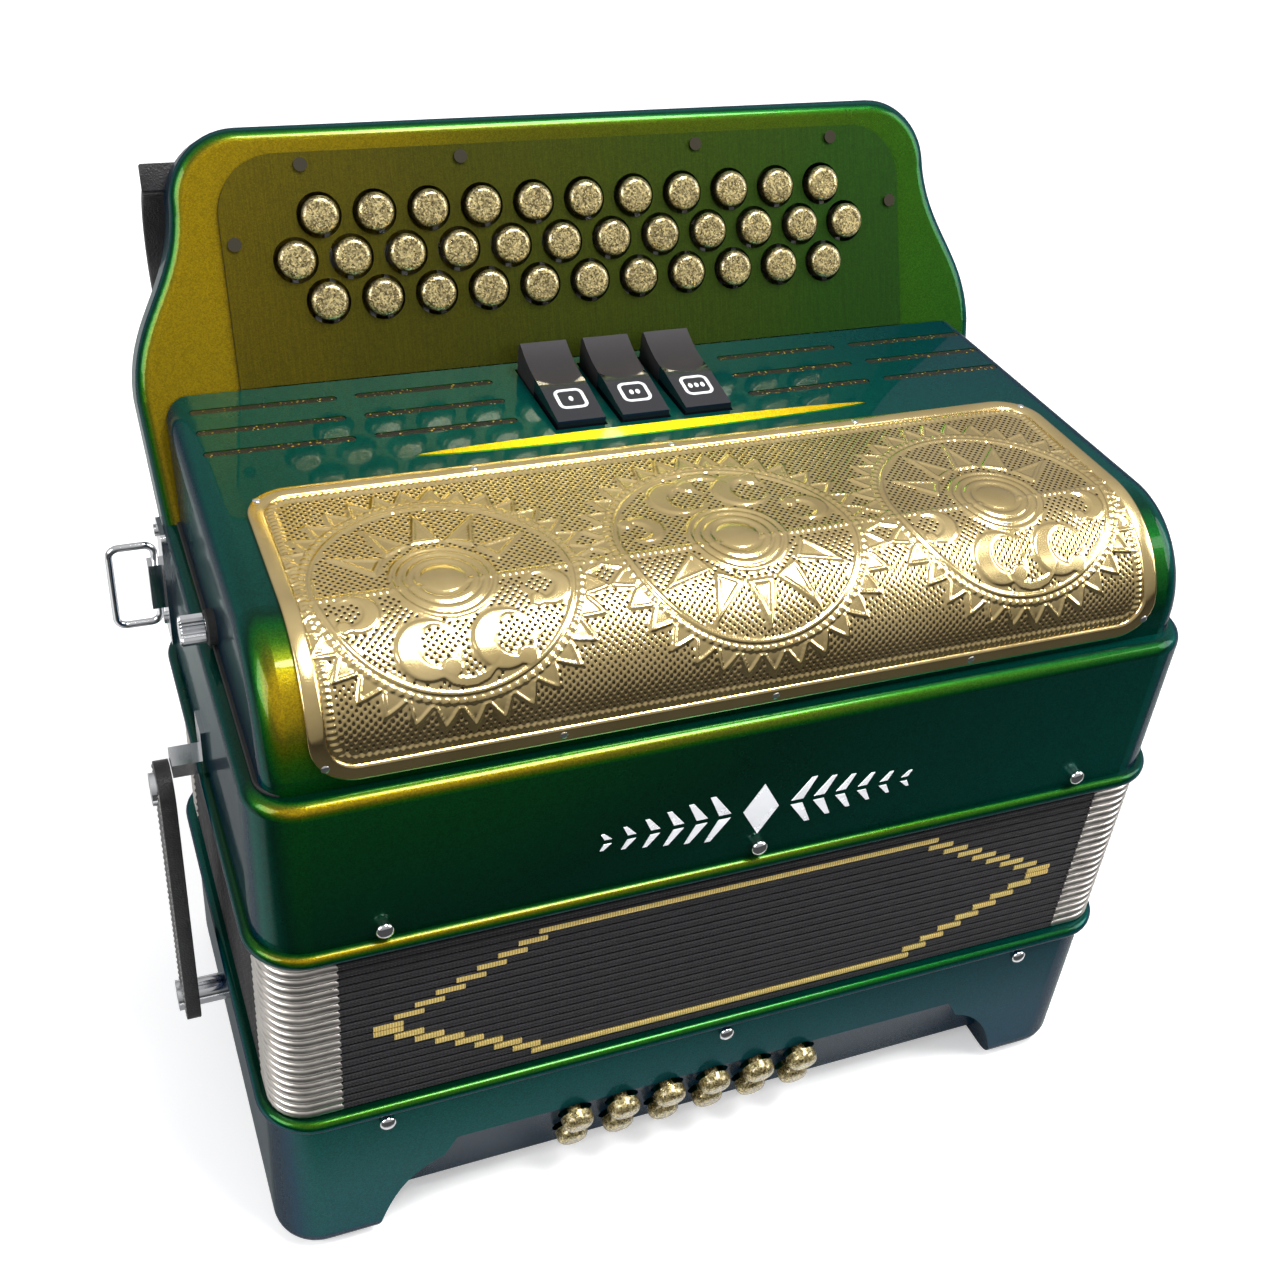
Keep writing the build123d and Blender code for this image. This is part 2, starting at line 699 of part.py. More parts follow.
# ---- Shoulder-strap bails in their brackets ----------------------------------
bail_y = front + bail_back
bail_x = half_width + bail_stand
bail_skin = bail_wire  # sleeve's outer face past the hinge leg's middle


def strap_bail(side, label):
    """A closed loop of wire that hinges on its inner leg."""
    inner = side * bail_x
    outer = side * (bail_x + bail_out)
    low_z = bail_z - bail_height / 2
    high_z = bail_z + bail_height / 2
    with BuildPart() as bail:
        with BuildLine() as loop:
            bend = FilletPolyline(
                (inner, bail_y, bail_z), (inner, bail_y, high_z), (outer, bail_y, high_z),
                (outer, bail_y, low_z), (inner, bail_y, low_z), (inner, bail_y, bail_z - 1),
                radius=bail_corner,
            )
            Line(bend @ 1, bend @ 0)
        with BuildSketch(Plane(origin=(inner, bail_y, bail_z), z_dir=(0, 0, 1))):
            Circle(bail_wire / 2)
        sweep(path=loop.wire())
    finish(bail, label)


strap_bail(-1, "strap_bail_left")
strap_bail(1, "strap_bail_right")

with BuildPart() as strap_brackets:
    for side in (-1, 1):
        with BuildSketch(Plane.YZ.offset(side * half_width)):
            with Locations((bail_y, bail_z)):
                RectangleRounded(*bracket_plate[:2], bracket_corner)
        extrude(amount=side * bracket_plate[2])
        with BuildSketch(Plane.XY.offset(bail_z - bail_sleeve / 2)):
            with Locations((side * (half_width + bail_x + bail_skin) / 2, bail_y)):
                Rectangle(bail_x + bail_skin - half_width, bail_sleeve_depth)
        extrude(amount=bail_sleeve)
        with BuildSketch(Plane.XY.offset(bail_z - bail_sleeve / 2)):
            with Locations((side * bail_x, bail_y)):
                Circle(bail_wire / 2 + axle_fit)
        extrude(amount=bail_sleeve, mode=Mode.SUBTRACT)
        for z in (bail_z - bracket_screw[1], bail_z + bracket_screw[1]):
            with BuildSketch(Plane.YZ.offset(side * (half_width + bracket_plate[2]))):
                with Locations((bail_y + bracket_screw[0], z)):
                    Circle(bracket_screw_radius)
            extrude(amount=side * bracket_screw_stand)
finish(strap_brackets, "strap_brackets")

# ---- Thumb strap on the back of the keyboard wing ----------------------------
with BuildPart() as thumb_strap:
    with BuildSketch(Plane.YZ.offset(thumb_strap_x - thumb_strap_width / 2)):
        low_end = board_point(thumb_low_s, thumb_lift)
        high_end = board_point(thumb_high_s, thumb_lift)
        with BuildLine():
            ThreePointArc(low_end, board_point(thumb_mid_s, thumb_lift + thumb_bulge), high_end)
        trace(line_width=thumb_strap_thickness)
        with BuildLine():
            Line(board_point(thumb_low_s - thumb_tab, thumb_lift), low_end)
        trace(line_width=thumb_strap_thickness)
        with BuildLine():
            Line(high_end, board_point(thumb_high_s + thumb_tab, thumb_lift))
        trace(line_width=thumb_strap_thickness)
    extrude(amount=thumb_strap_width)
    split(bisect_by=board.offset(-wing_back), keep=Keep.BOTTOM)
finish(thumb_strap, "thumb_strap")

# ---- Hand strap across the bass floor ---------------------------------------
hand_mid = 60.0  # half length of the level middle
hand_end = 12.0  # length fixed to the floor at each end
hand_strap_bend = 0.8
with BuildPart() as hand_strap:
    with BuildSketch(Plane.XZ.offset(-front - hand_strap_back - hand_strap_width / 2)):
        low = bass_floor_z - hand_strap_drop
        with BuildLine():
            FilletPolyline(
                (hand_strap_half_length, bass_floor_z), (hand_strap_half_length - hand_end, bass_floor_z),
                (hand_mid, low + hand_strap_thickness), (-hand_mid, low + hand_strap_thickness),
                (hand_end - hand_strap_half_length, bass_floor_z), (-hand_strap_half_length, bass_floor_z),
                (-hand_strap_half_length, bass_floor_z - hand_strap_thickness),
                (hand_end - hand_strap_half_length, bass_floor_z - hand_strap_thickness),
                (-hand_mid, low), (hand_mid, low),
                (hand_strap_half_length - hand_end, bass_floor_z - hand_strap_thickness),
                (hand_strap_half_length, bass_floor_z - hand_strap_thickness),
                radius=hand_strap_bend, close=True,
            )
        make_face()
    extrude(amount=hand_strap_width)
finish(hand_strap, "hand_strap")

# ---- Fasteners of the treble end ---------------------------------------------
pin_x = (-122.0, 0.0, 122.0)
pin_diameter = 5.0
pin_stand = 2.4
pin_from_rim = 9.8
cover_screw_back = 83.0
cover_screw_z = 213.5
cover_screw_collar = (5.0, 2.5)  # radius and length
cover_screw_knob = (4.0, 8.0)
snap_plate = (12.0, 17.0, 1.5)
snap_plate_above_rim = 14.5
snap_block = (10.0, 5.0)
snap_block_above_bead = 3.0
with BuildPart() as treble_fasteners:
    with BuildSketch(board):
        with Locations(*screw_places):
            Circle(plate_screw_head / 2)
    extrude(amount=plate_screw_stand)
    with BuildSketch(board):
        with Locations(*screw_places):
            Circle(plate_screw_hole / 2)
    extrude(amount=-plate_thickness)
    for y, outward in ((case_front, 1), (case_rear, -1)):
        with BuildSketch(Plane.XZ.offset(-y)):
            with Locations(*[(x, treble_rim_z + pin_from_rim) for x in pin_x]):
                Circle(pin_diameter / 2)
        extrude(amount=outward * pin_stand)
    for side in (-1, 1):
        with BuildSketch(Plane.YZ.offset(side * cover_half_width)):
            with Locations((front + cover_screw_back, cover_screw_z)):
                Circle(cover_screw_collar[0])
        extrude(amount=side * cover_screw_collar[1])
        with BuildSketch(Plane.YZ.offset(side * (cover_half_width + cover_screw_collar[1]))):
            with Locations((front + cover_screw_back, cover_screw_z)):
                Circle(cover_screw_knob[0])
        extrude(amount=side * cover_screw_knob[1])
        with BuildSketch(Plane.YZ.offset(side * half_width)):
            with Locations((strap_y, treble_rim_z + snap_plate_above_rim)):
                Rectangle(snap_plate[0], snap_plate[1])
        extrude(amount=side * snap_plate[2])
        with BuildSketch(Plane.YZ.offset(side * half_width)):
            with Locations((strap_y, treble_rim_z + bead_height + snap_block_above_bead)):
                Rectangle(*snap_block)
        extrude(amount=side * (strap_stand - fit_gap))
finish(treble_fasteners, "treble_fasteners")

# ---- Fasteners of the bass end -----------------------------------------------
strap_anchor_z = strap_low_z + strap_end
strap_anchor_radius = 5.0
strap_disc = (5.6, 2.0)  # radius and height of the heads on the strap
bass_pin_from_rim = 8.6
with BuildPart() as bass_fasteners:
    for y, outward in ((case_front, 1), (case_rear, -1)):
        with BuildSketch(Plane.XZ.offset(-y)):
            with Locations(*[(x, bass_rim_z - bass_pin_from_rim) for x in pin_x]):
                Circle(pin_diameter / 2)
        extrude(amount=outward * pin_stand)
    for side in (-1, 1):
        with BuildSketch(Plane.YZ.offset(side * half_width)):
            with Locations((strap_y, strap_anchor_z)):
                Circle(strap_anchor_radius)
        extrude(amount=side * strap_stand)
        with BuildSketch(Plane.YZ.offset(side * (strap_inner_x + strap_thickness))):
            with Locations((strap_y, strap_anchor_z), (strap_y, strap_high_z - strap_end)):
                Circle(strap_disc[0])
        extrude(amount=side * strap_disc[1])
finish(bass_fasteners, "bass_fasteners")
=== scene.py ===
# %% [markdown]
# # A three-row button accordion
# The imported model gives every hard part in its place. This lesson adds what the eye reads as the
# instrument: a lacquer with a painted sheen that shifts from teal through green to gold, a pressed
# gold grille, pleated bellows, glitter buttons with painted highlight and shade, leather straps and
# bright metal. Lengths in this file are in metres.

# %% The imported model
import math

import bpy
import numpy as np
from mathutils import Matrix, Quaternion, Vector
from mathutils.bvhtree import BVHTree


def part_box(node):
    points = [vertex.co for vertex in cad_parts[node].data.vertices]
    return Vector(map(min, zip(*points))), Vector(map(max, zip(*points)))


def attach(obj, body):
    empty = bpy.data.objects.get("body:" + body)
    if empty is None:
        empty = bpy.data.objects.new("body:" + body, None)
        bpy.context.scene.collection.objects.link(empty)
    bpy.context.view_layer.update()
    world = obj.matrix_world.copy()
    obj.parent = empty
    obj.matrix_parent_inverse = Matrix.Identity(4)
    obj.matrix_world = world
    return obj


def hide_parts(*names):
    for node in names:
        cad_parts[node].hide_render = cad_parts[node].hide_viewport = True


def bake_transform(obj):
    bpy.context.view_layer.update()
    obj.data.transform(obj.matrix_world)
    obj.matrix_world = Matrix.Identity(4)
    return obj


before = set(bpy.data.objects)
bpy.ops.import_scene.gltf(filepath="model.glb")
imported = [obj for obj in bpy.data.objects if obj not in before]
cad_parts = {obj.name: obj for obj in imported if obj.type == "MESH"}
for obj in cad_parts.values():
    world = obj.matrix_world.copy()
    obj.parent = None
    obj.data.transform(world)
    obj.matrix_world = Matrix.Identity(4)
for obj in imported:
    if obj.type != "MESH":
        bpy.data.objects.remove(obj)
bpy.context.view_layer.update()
cad_low_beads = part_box("treble_casing")[0].y  # the front of the half-round beads
MM = 0.001

# %% [markdown]
# ## The camera
# A product picture of an accordion is taken from above its front left corner. The camera could be
# parented to a target, but a place, an aim and a small roll say the same in three plain lines.

# %% The camera
CAMERA_PLACE = Vector((-0.1990, -0.4321, 0.5041))
CAMERA_AIM = Vector((0.0067, 0.0068, 0.1504))
CAMERA_ROLL = math.radians(5.95)
LENS = 44.6

camera_data = bpy.data.cameras.new("camera")
camera_data.lens = LENS
camera_data.sensor_width = 36
camera = bpy.data.objects.new("camera", camera_data)
bpy.context.scene.collection.objects.link(camera)
camera.location = CAMERA_PLACE
camera.rotation_mode = "QUATERNION"
camera.rotation_quaternion = (CAMERA_AIM - CAMERA_PLACE).to_track_quat("-Z", "Y")
roll = Quaternion((0, 0, 1), CAMERA_ROLL)
camera.rotation_quaternion = camera.rotation_quaternion @ roll
bpy.context.scene.camera = camera
print("camera at", tuple(round(c, 3) for c in CAMERA_PLACE), "lens", LENS)

# %% [markdown]
# ## Mesh helpers
# Most of the new pieces are a small outline drawn along a path, as a moulding is, so one function
# that joins rings of points is enough. Building the points in code keeps every size readable.

# %% Making a piece from points and faces
def make_piece(name, points, faces, material, sharp=35):
    mesh = bpy.data.meshes.new(name)
    mesh.from_pydata([tuple(p) for p in points], [], faces)
    mesh.polygons.foreach_set("use_smooth", [True] * len(mesh.polygons))
    mesh.update()
    if sharp:
        mesh.set_sharp_from_angle(angle=math.radians(sharp))
    piece = bpy.data.objects.new(name, mesh)
    bpy.context.scene.collection.objects.link(piece)
    mesh.materials.append(material)
    return piece


def join_rings(rings, closed_path, closed_profile=True, first=0):
    """Faces between rings of equal length, numbered from first."""
    count, size, faces = len(rings), len(rings[0]), []
    for i in range(count if closed_path else count - 1):
        a, b = first + i * size, first + (i + 1) % count * size
        for j in range(size if closed_profile else size - 1):
            k = (j + 1) % size
            faces.append((a + j, a + k, b + k, b + j))
    if not closed_path and closed_profile:
        last = first + (count - 1) * size
        faces.append(tuple(first + j for j in range(size))[::-1])
        faces.append(tuple(last + j for j in range(size)))
    return faces


class Shells:
    """Collects several closed shells into one mesh."""

    def __init__(self):
        self.points, self.faces = [], []

    def add(self, rings, closed_path=False):
        self.faces += join_rings(rings, closed_path, True, len(self.points))
        self.points += [p for ring in rings for p in ring]


def rounded_path(half_x, half_y, radius, steps=8):
    """A rounded rectangle round the origin as (x, y, outward x, outward y), anticlockwise."""
    path = []
    corners = [(1, 1, 0), (-1, 1, 90), (-1, -1, 180), (1, -1, 270)]
    for side_x, side_y, turn in corners:
        for i in range(steps + 1):
            angle = math.radians(turn + 90 * i / steps)
            out_x, out_y = math.cos(angle), math.sin(angle)
            path.append((side_x * (half_x - radius) + radius * out_x,
                         side_y * (half_y - radius) + radius * out_y, out_x, out_y))
    return path


def full_turn(count):
    """count angles evenly round a circle."""
    return np.linspace(0, 2 * math.pi, count + 1)[:-1]


print("mesh helpers ready")

# %% [markdown]
# ## Node helpers
# A material is a small graph. These two functions make a node with its settings, and an empty
# shader group with named sockets, so each recipe below reads from top to bottom.

# %% Making nodes and groups
def add_node(tree, kind, inputs=None, **settings):
    made = tree.nodes.new(kind)
    for name, value in settings.items():
        setattr(made, name, value)
    for name, value in (inputs or {}).items():
        socket = made.inputs[name]
        if isinstance(value, bpy.types.NodeSocket):
            tree.links.new(value, socket)
        else:
            socket.default_value = value
    return made


def math_node(tree, operation, *values, clamp=False):
    inputs = {i: v for i, v in enumerate(values)}
    return add_node(tree, "ShaderNodeMath", inputs, operation=operation, use_clamp=clamp).outputs[0]


def blend_colors(tree, share, first, second, kind="MIX"):
    mix = add_node(tree, "ShaderNodeMix", data_type="RGBA", blend_type=kind)
    for socket, value in ((mix.inputs[0], share), (mix.inputs[6], first), (mix.inputs[7], second)):
        if isinstance(value, bpy.types.NodeSocket):
            tree.links.new(value, socket)
        else:
            socket.default_value = value
    return mix.outputs[2]


def new_group(name, inputs, outputs):
    tree = bpy.data.node_groups.new(name, "ShaderNodeTree")
    for label, kind, value in inputs:
        socket = tree.interface.new_socket(label, in_out="INPUT", socket_type="NodeSocket" + kind)
        socket.default_value = value
    for label, kind in outputs:
        tree.interface.new_socket(label, in_out="OUTPUT", socket_type="NodeSocket" + kind)
    return tree, tree.nodes.new("NodeGroupInput").outputs, tree.nodes.new("NodeGroupOutput").inputs


def new_material(name, **sockets):
    """A material with its Principled shader's constant values set on the shader's own sockets."""
    material = bpy.data.materials.new(name)
    material.use_nodes = True
    tree = material.node_tree
    shader = next(n for n in tree.nodes if n.type == "BSDF_PRINCIPLED")
    for label, value in sockets.items():
        shader.inputs[label.replace("_", " ")].default_value = value
    return material, tree, shader.inputs


def place_group(tree, group, **values):
    made = add_node(tree, "ShaderNodeGroup", {}, node_tree=group)
    for label, value in values.items():
        socket = made.inputs[label.replace("_", " ")]
        if isinstance(value, bpy.types.NodeSocket):
            tree.links.new(value, socket)
        else:
            socket.default_value = value
    return made.outputs


def bump(tree, height, distance, strength=1.0):
    return add_node(tree, "ShaderNodeBump", {"Height": height, "Distance": distance,
                                             "Strength": strength}).outputs["Normal"]


def give_bump(tree, shader, height, distance, strength=1.0):
    tree.links.new(bump(tree, height, distance, strength), shader["Normal"])


def give_color(tree, shader, share, first, second):
    tree.links.new(blend_colors(tree, share, first, second), shader["Base Color"])


print("node helpers ready")

# %% [markdown]
# ## The colour-shifting paint
# The real lacquer is a colour-shifting paint over a metallic ground, whose hue changes with the
# angle it is seen and lit at. A thin-film shader would depend on the viewer, so here that sheen is
# painted into the colour: the hue comes from the angle between the surface and one fixed point at
# the camera's place, in front, above and to the left. It runs blue where the surface turns away
# from that point, green on the flanks and a painted gold highlight where it faces it. It looks the
# same from every side.

# %% The paint group
# A fixed point at the camera's place; the angle to it sets the lacquer's painted sheen.
SHEEN_VIEW_PLACE = (-0.20, -0.43, 0.50)

paint_group, given, result = new_group(
    "lacquer_painted_sheen",
    [("Shift", "Float", 0.0), ("Richness", "Float", 1.0)],
    [("Color", "Color"), ("Grain", "Float")])
place = add_node(paint_group, "ShaderNodeTexCoord").outputs
ray = add_node(paint_group, "ShaderNodeVectorMath", {0: SHEEN_VIEW_PLACE, 1: place["Object"]},
               operation="SUBTRACT").outputs[0]
ray = add_node(paint_group, "ShaderNodeVectorMath", {0: ray}, operation="NORMALIZE").outputs[0]
facing = add_node(paint_group, "ShaderNodeVectorMath", {0: ray, 1: place["Normal"]},
                  operation="DOT_PRODUCT").outputs["Value"]
cloud = add_node(paint_group, "ShaderNodeTexNoise",
                 {"Vector": place["Object"], "Scale": 9.0, "Detail": 2.0}).outputs[0]
drift = math_node(paint_group, "MULTIPLY_ADD", cloud, 0.05, -0.025)
facing = math_node(paint_group, "ADD", facing, drift)
facing = math_node(paint_group, "ADD", facing, given["Shift"], clamp=True)
# Painted sheen: blue, then green, then a painted gold highlight as the surface faces that point.
hues = add_node(paint_group, "ShaderNodeValToRGB", {"Fac": facing})
STOPS = [(0.00, (0.000, 0.020, 0.060)), (0.35, (0.000, 0.040, 0.070)), (0.47, (0.000, 0.080, 0.068)),
         (0.56, (0.000, 0.052, 0.040)), (0.66, (0.000, 0.028, 0.014)), (0.76, (0.003, 0.075, 0.008)),
         (0.86, (0.024, 0.090, 0.003)), (0.95, (0.095, 0.090, 0.002)), (1.00, (0.300, 0.200, 0.002))]
ramp = hues.color_ramp
for number, (position, color) in enumerate(STOPS):
    stop = ramp.elements[number] if number < 2 else ramp.elements.new(position)
    stop.position = position
for stop, (position, color) in zip(ramp.elements, STOPS):
    stop.position, stop.color = position, (*color, 1)
flakes = add_node(paint_group, "ShaderNodeTexVoronoi",
                  {"Vector": place["Object"], "Scale": 2600.0}).outputs["Color"]
grain = add_node(paint_group, "ShaderNodeSeparateColor", {0: flakes}).outputs[0]
lift = math_node(paint_group, "MULTIPLY_ADD", grain, 0.5, 0.75)
lift = math_node(paint_group, "MULTIPLY", lift, given["Richness"])
paint_group.links.new(blend_colors(paint_group, 1.0, hues.outputs[0], lift, "MULTIPLY"), result[0])
paint_group.links.new(grain, result[1])
print("lacquer stops:", len(STOPS))

# %% [markdown]
# ## Smudges and fine wear
# Nothing that is handled has one even gloss. A soft cloud of fingerprints changes the roughness a
# little, and it is shared by lacquer, metal and plastic, so it is a group too.

# %% The smudge group
smudge_group, given, result = new_group(
    "smudges",
    [("Size", "Float", 30.0), ("Low", "Float", 0.2), ("High", "Float", 0.35)],
    [("Roughness", "Float"), ("Mask", "Float")])
place = add_node(smudge_group, "ShaderNodeTexCoord").outputs
cloud = add_node(smudge_group, "ShaderNodeTexNoise",
                 {"Vector": place["Object"], "Scale": given["Size"], "Detail": 6.0,
                  "Roughness": 0.65}).outputs[0]
span = add_node(smudge_group, "ShaderNodeMapRange",
                {0: cloud, 1: 0.3, 2: 0.7, 3: given["Low"], 4: given["High"]}).outputs[0]
smudge_group.links.new(span, result[0])
smudge_group.links.new(cloud, result[1])


def give_gloss(tree, shader, size, low, high):
    """Roughness that wanders between low and high; returns the group's outputs."""
    gloss = place_group(tree, smudge_group, Size=size, Low=low, High=high)
    tree.links.new(gloss["Roughness"], shader["Roughness"])
    return gloss


print("smudge group ready")

# %% [markdown]
# ## Weave
# Bellows cloth and the dark sheet under the grille, whose darkness is painted shade, are woven.
# Two crossed wave textures, one lifted where the other dips, give a plain weave whose thread size
# is one number.

# %% The weave group
weave_group, given, result = new_group(
    "plain_weave",
    [("Threads", "Float", 900.0)],
    [("Height", "Float"), ("Thread", "Float")])
place = add_node(weave_group, "ShaderNodeTexCoord").outputs
parts = add_node(weave_group, "ShaderNodeSeparateXYZ", {0: place["Object"]}).outputs
across = math_node(weave_group, "SINE", math_node(weave_group, "MULTIPLY",
                   math_node(weave_group, "ADD", parts[0], parts[1]), given["Threads"]))
along = math_node(weave_group, "SINE", math_node(weave_group, "MULTIPLY",
                  math_node(weave_group, "ADD", parts[2], math_node(
                      weave_group, "MULTIPLY", parts[1], 0.5)), given["Threads"]))
crossed = math_node(weave_group, "MULTIPLY", across, along)
fuzz = add_node(weave_group, "ShaderNodeTexNoise",
                {"Vector": place["Object"], "Scale": 1800.0, "Detail": 3.0}).outputs[0]
height = math_node(weave_group, "MULTIPLY_ADD", crossed, 0.35, 0.5)
height = math_node(weave_group, "ADD", height, math_node(weave_group, "MULTIPLY", fuzz, 0.3))
weave_group.links.new(height, result[0])
weave_group.links.new(fuzz, result[1])
print("weave group ready")

# %% [markdown]
# ## Glitter
# The caps are clear resin over gold foil chips. Each chip is one cell of a Voronoi texture with
# its own tint, and its colour also tilts the bump, so the chips flash one by one.

# %% The glitter group
glitter_group, given, result = new_group(
    "foil_chips",
    [("Chips", "Float", 900.0), ("Dark", "Color", (0.085, 0.060, 0.016, 1)),
     ("Bright", "Color", (0.72, 0.59, 0.27, 1))],
    [("Color", "Color"), ("Height", "Float"), ("Chip", "Float")])
place = add_node(glitter_group, "ShaderNodeTexCoord").outputs
cells = add_node(glitter_group, "ShaderNodeTexVoronoi",
                 {"Vector": place["Object"], "Scale": given["Chips"]}).outputs
chip = add_node(glitter_group, "ShaderNodeSeparateColor", {0: cells["Color"]}).outputs
tint = math_node(glitter_group, "POWER", chip[0], 1.4)
glitter_group.links.new(blend_colors(glitter_group, tint, given["Dark"], given["Bright"]), result[0])
glitter_group.links.new(math_node(glitter_group, "ADD", chip[1], cells["Distance"]), result[1])
glitter_group.links.new(chip[2], result[2])
print("glitter group ready")

# %% [markdown]
# ## Leather grain and brushed metal
# Leather is a net of small pillows, which Voronoi distance gives. Brushed metal is noise that is
# squeezed in one direction, so that its streaks run the length of the plate.

# %% The leather and brushing groups
leather_group, given, result = new_group(
    "leather_grain", [("Pores", "Float", 700.0)], [("Height", "Float"), ("Shade", "Float")])
place = add_node(leather_group, "ShaderNodeTexCoord").outputs
wander = add_node(leather_group, "ShaderNodeTexNoise",
                  {"Vector": place["Object"], "Scale": 260.0, "Detail": 4.0}).outputs
bent = add_node(leather_group, "ShaderNodeVectorMath", {0: wander["Color"], 1: (0.0016,) * 3,
                2: place["Object"]}, operation="MULTIPLY_ADD").outputs[0]
pillow = add_node(leather_group, "ShaderNodeTexVoronoi",
                  {"Vector": bent, "Scale": given["Pores"]}, feature="DISTANCE_TO_EDGE").outputs[0]
pillow = math_node(leather_group, "MULTIPLY", pillow, 2.4, clamp=True)
leather_group.links.new(pillow, result[0])
leather_group.links.new(wander["Fac"], result[1])

brush_group, given, result = new_group(
    "brushing", [("Squeeze", "Vector", (4.0, 900.0, 900.0)), ("Detail", "Float", 4.0)],
    [("Streak", "Float")])
place = add_node(brush_group, "ShaderNodeTexCoord").outputs
pulled = add_node(brush_group, "ShaderNodeVectorMath", {0: place["Object"], 1: given["Squeeze"]},
                  operation="MULTIPLY").outputs[0]
streak = add_node(brush_group, "ShaderNodeTexNoise",
                  {"Vector": pulled, "Scale": 1.0, "Detail": given["Detail"]}).outputs[0]
brush_group.links.new(streak, result[0])
print("leather and brushing groups ready")

# %% [markdown]
# ## The lacquered parts
# Treble case, bass case and cover share one recipe and differ in richness. The keyboard plate is
# the same colour over brushed metal, satin and with no clear coat pooled on it.

# %% Lacquer materials
def lacquer(name, shift, richness, coat, low=0.26, high=0.31, metallic=0.72, crest_at=9.0):
    """The paint with its painted sheen; above the height crest_at its hue is pushed up to gold."""
    material, tree, shader = new_material(name, Metallic=metallic, Coat_Weight=coat,
                                          Coat_Roughness=0.04, Specular_IOR_Level=0.1,
                                          Specular_Tint=(0.10, 0.30, 0.22, 1))
    place = add_node(tree, "ShaderNodeTexCoord").outputs["Object"]
    over = math_node(tree, "GREATER_THAN", add_node(
        tree, "ShaderNodeSeparateXYZ", {0: place}).outputs[2], crest_at)
    slid = math_node(tree, "MULTIPLY_ADD", over, 0.43, shift)
    paint = place_group(tree, paint_group, Shift=slid, Richness=richness)
    tree.links.new(paint["Color"], shader["Base Color"])
    gloss = give_gloss(tree, shader, 14.0, low, high)
    give_bump(tree, shader, paint["Grain"], 0.00002, 0.35)
    return material


case_lacquer = lacquer("case_lacquer", 0.0, 1.0, 0.3)
cover_lacquer = lacquer("cover_lacquer", 0.0, 1.0, 0.3, crest_at=0.2463)
bass_lacquer = lacquer("bass_lacquer", -0.13, 1.05, 0.3)

plate_lacquer, tree, shader = new_material("plate_lacquer", Metallic=0.85, Coat_Weight=0.08,
                                           Coat_Roughness=0.3)
# The plate takes the same painted sheen, dimmed and streaked by the brushing.
paint = place_group(tree, paint_group, Shift=-0.02, Richness=0.62)
streak = place_group(tree, brush_group, Squeeze=(2600.0, 90.0, 90.0))["Streak"]
tone = add_node(tree, "ShaderNodeMapRange", {0: streak, 1: 0.25, 2: 0.75, 3: 0.72, 4: 1.22})
tree.links.new(blend_colors(tree, 1.0, paint["Color"], tone.outputs[0], "MULTIPLY"),
               shader["Base Color"])
gloss = add_node(tree, "ShaderNodeMapRange", {0: streak, 1: 0.2, 2: 0.8, 3: 0.46, 4: 0.32})
tree.links.new(gloss.outputs[0], shader["Roughness"])
give_bump(tree, shader, streak, 0.00004, 0.35)
print("lacquers made")

# %% [markdown]
# ## Metals
# Gold plate on the grille, nickel on the bellows corners, chrome on the fittings and plain steel
# on the hidden rods. They are one metal recipe with a tint, a smudge range and a faint brushing.

# %% Metal materials
def metal(name, tint, dark, low, high, size, streaks, depth, metallic=1.0):
    material, tree, shader = new_material(name, Metallic=metallic)
    gloss = give_gloss(tree, shader, size, low, high)
    give_color(tree, shader, gloss["Mask"], dark, tint)
    streak = place_group(tree, brush_group, Squeeze=streaks)["Streak"]
    give_bump(tree, shader, streak, depth, 0.4)
    return material


gold_plating = metal("gold_plating", (0.96, 0.76, 0.40, 1), (0.66, 0.48, 0.18, 1),
                     0.12, 0.22, 40.0, (500.0, 500.0, 500.0), 0.00001)
nickel_plating = metal("nickel_plating", (0.74, 0.70, 0.65, 1), (0.42, 0.39, 0.36, 1),
                       0.26, 0.44, 140.0, (900.0, 900.0, 60.0), 0.00003)
chrome_plating = metal("chrome_plating", (0.86, 0.87, 0.89, 1), (0.66, 0.67, 0.69, 1),
                       0.06, 0.16, 90.0, (400.0, 400.0, 400.0), 0.000005)
steel = metal("steel", (0.60, 0.60, 0.60, 1), (0.35, 0.34, 0.33, 1),
              0.25, 0.45, 60.0, (20.0, 900.0, 900.0), 0.00002)
silver_inlay = metal("silver_inlay", (0.88, 0.89, 0.92, 1), (0.72, 0.74, 0.78, 1),
                     0.2, 0.32, 120.0, (700.0, 700.0, 700.0), 0.00001, 0.35)
fittings, tree, shader = new_material("fittings", Metallic=1.0)
place = add_node(tree, "ShaderNodeTexCoord").outputs["Object"]
parts = add_node(tree, "ShaderNodeSeparateXYZ", {0: place}).outputs
# Fittings above 0.25 m are the screws on the keyboard plate; their near-black is painted shade of
# their recesses.
plate_screw_painted_shade = math_node(tree, "GREATER_THAN", parts[2], 0.25)
gloss = give_gloss(tree, shader, 90.0, 0.08, 0.2)
tone = blend_colors(tree, plate_screw_painted_shade, (0.80, 0.81, 0.83, 1), (0.16, 0.14, 0.10, 1))
tree.links.new(tone, shader["Base Color"])
give_bump(tree, shader, gloss["Mask"], 0.00002, 0.3)
print("metals made")

# %% [markdown]
# ## Cloth, leather, wood, rubber and plastic
# The quiet materials decide whether the bright ones look real. Each has its own grain at its true
# scale, because a strap with no pores or a pleat with no thread reads as painted card.

# %% Quiet materials
bellows_cloth, tree, shader = new_material("bellows_cloth", Specular_IOR_Level=0.28,
                                           Sheen_Weight=0.08, Sheen_Roughness=0.4)
weave = place_group(tree, weave_group, Threads=5200.0)
give_color(tree, shader, weave["Height"], (0.002, 0.002, 0.003, 1), (0.017, 0.016, 0.018, 1))
give_bump(tree, shader, weave["Height"], 0.00018, 0.8)
gloss = give_gloss(tree, shader, 200.0, 0.45, 0.75)

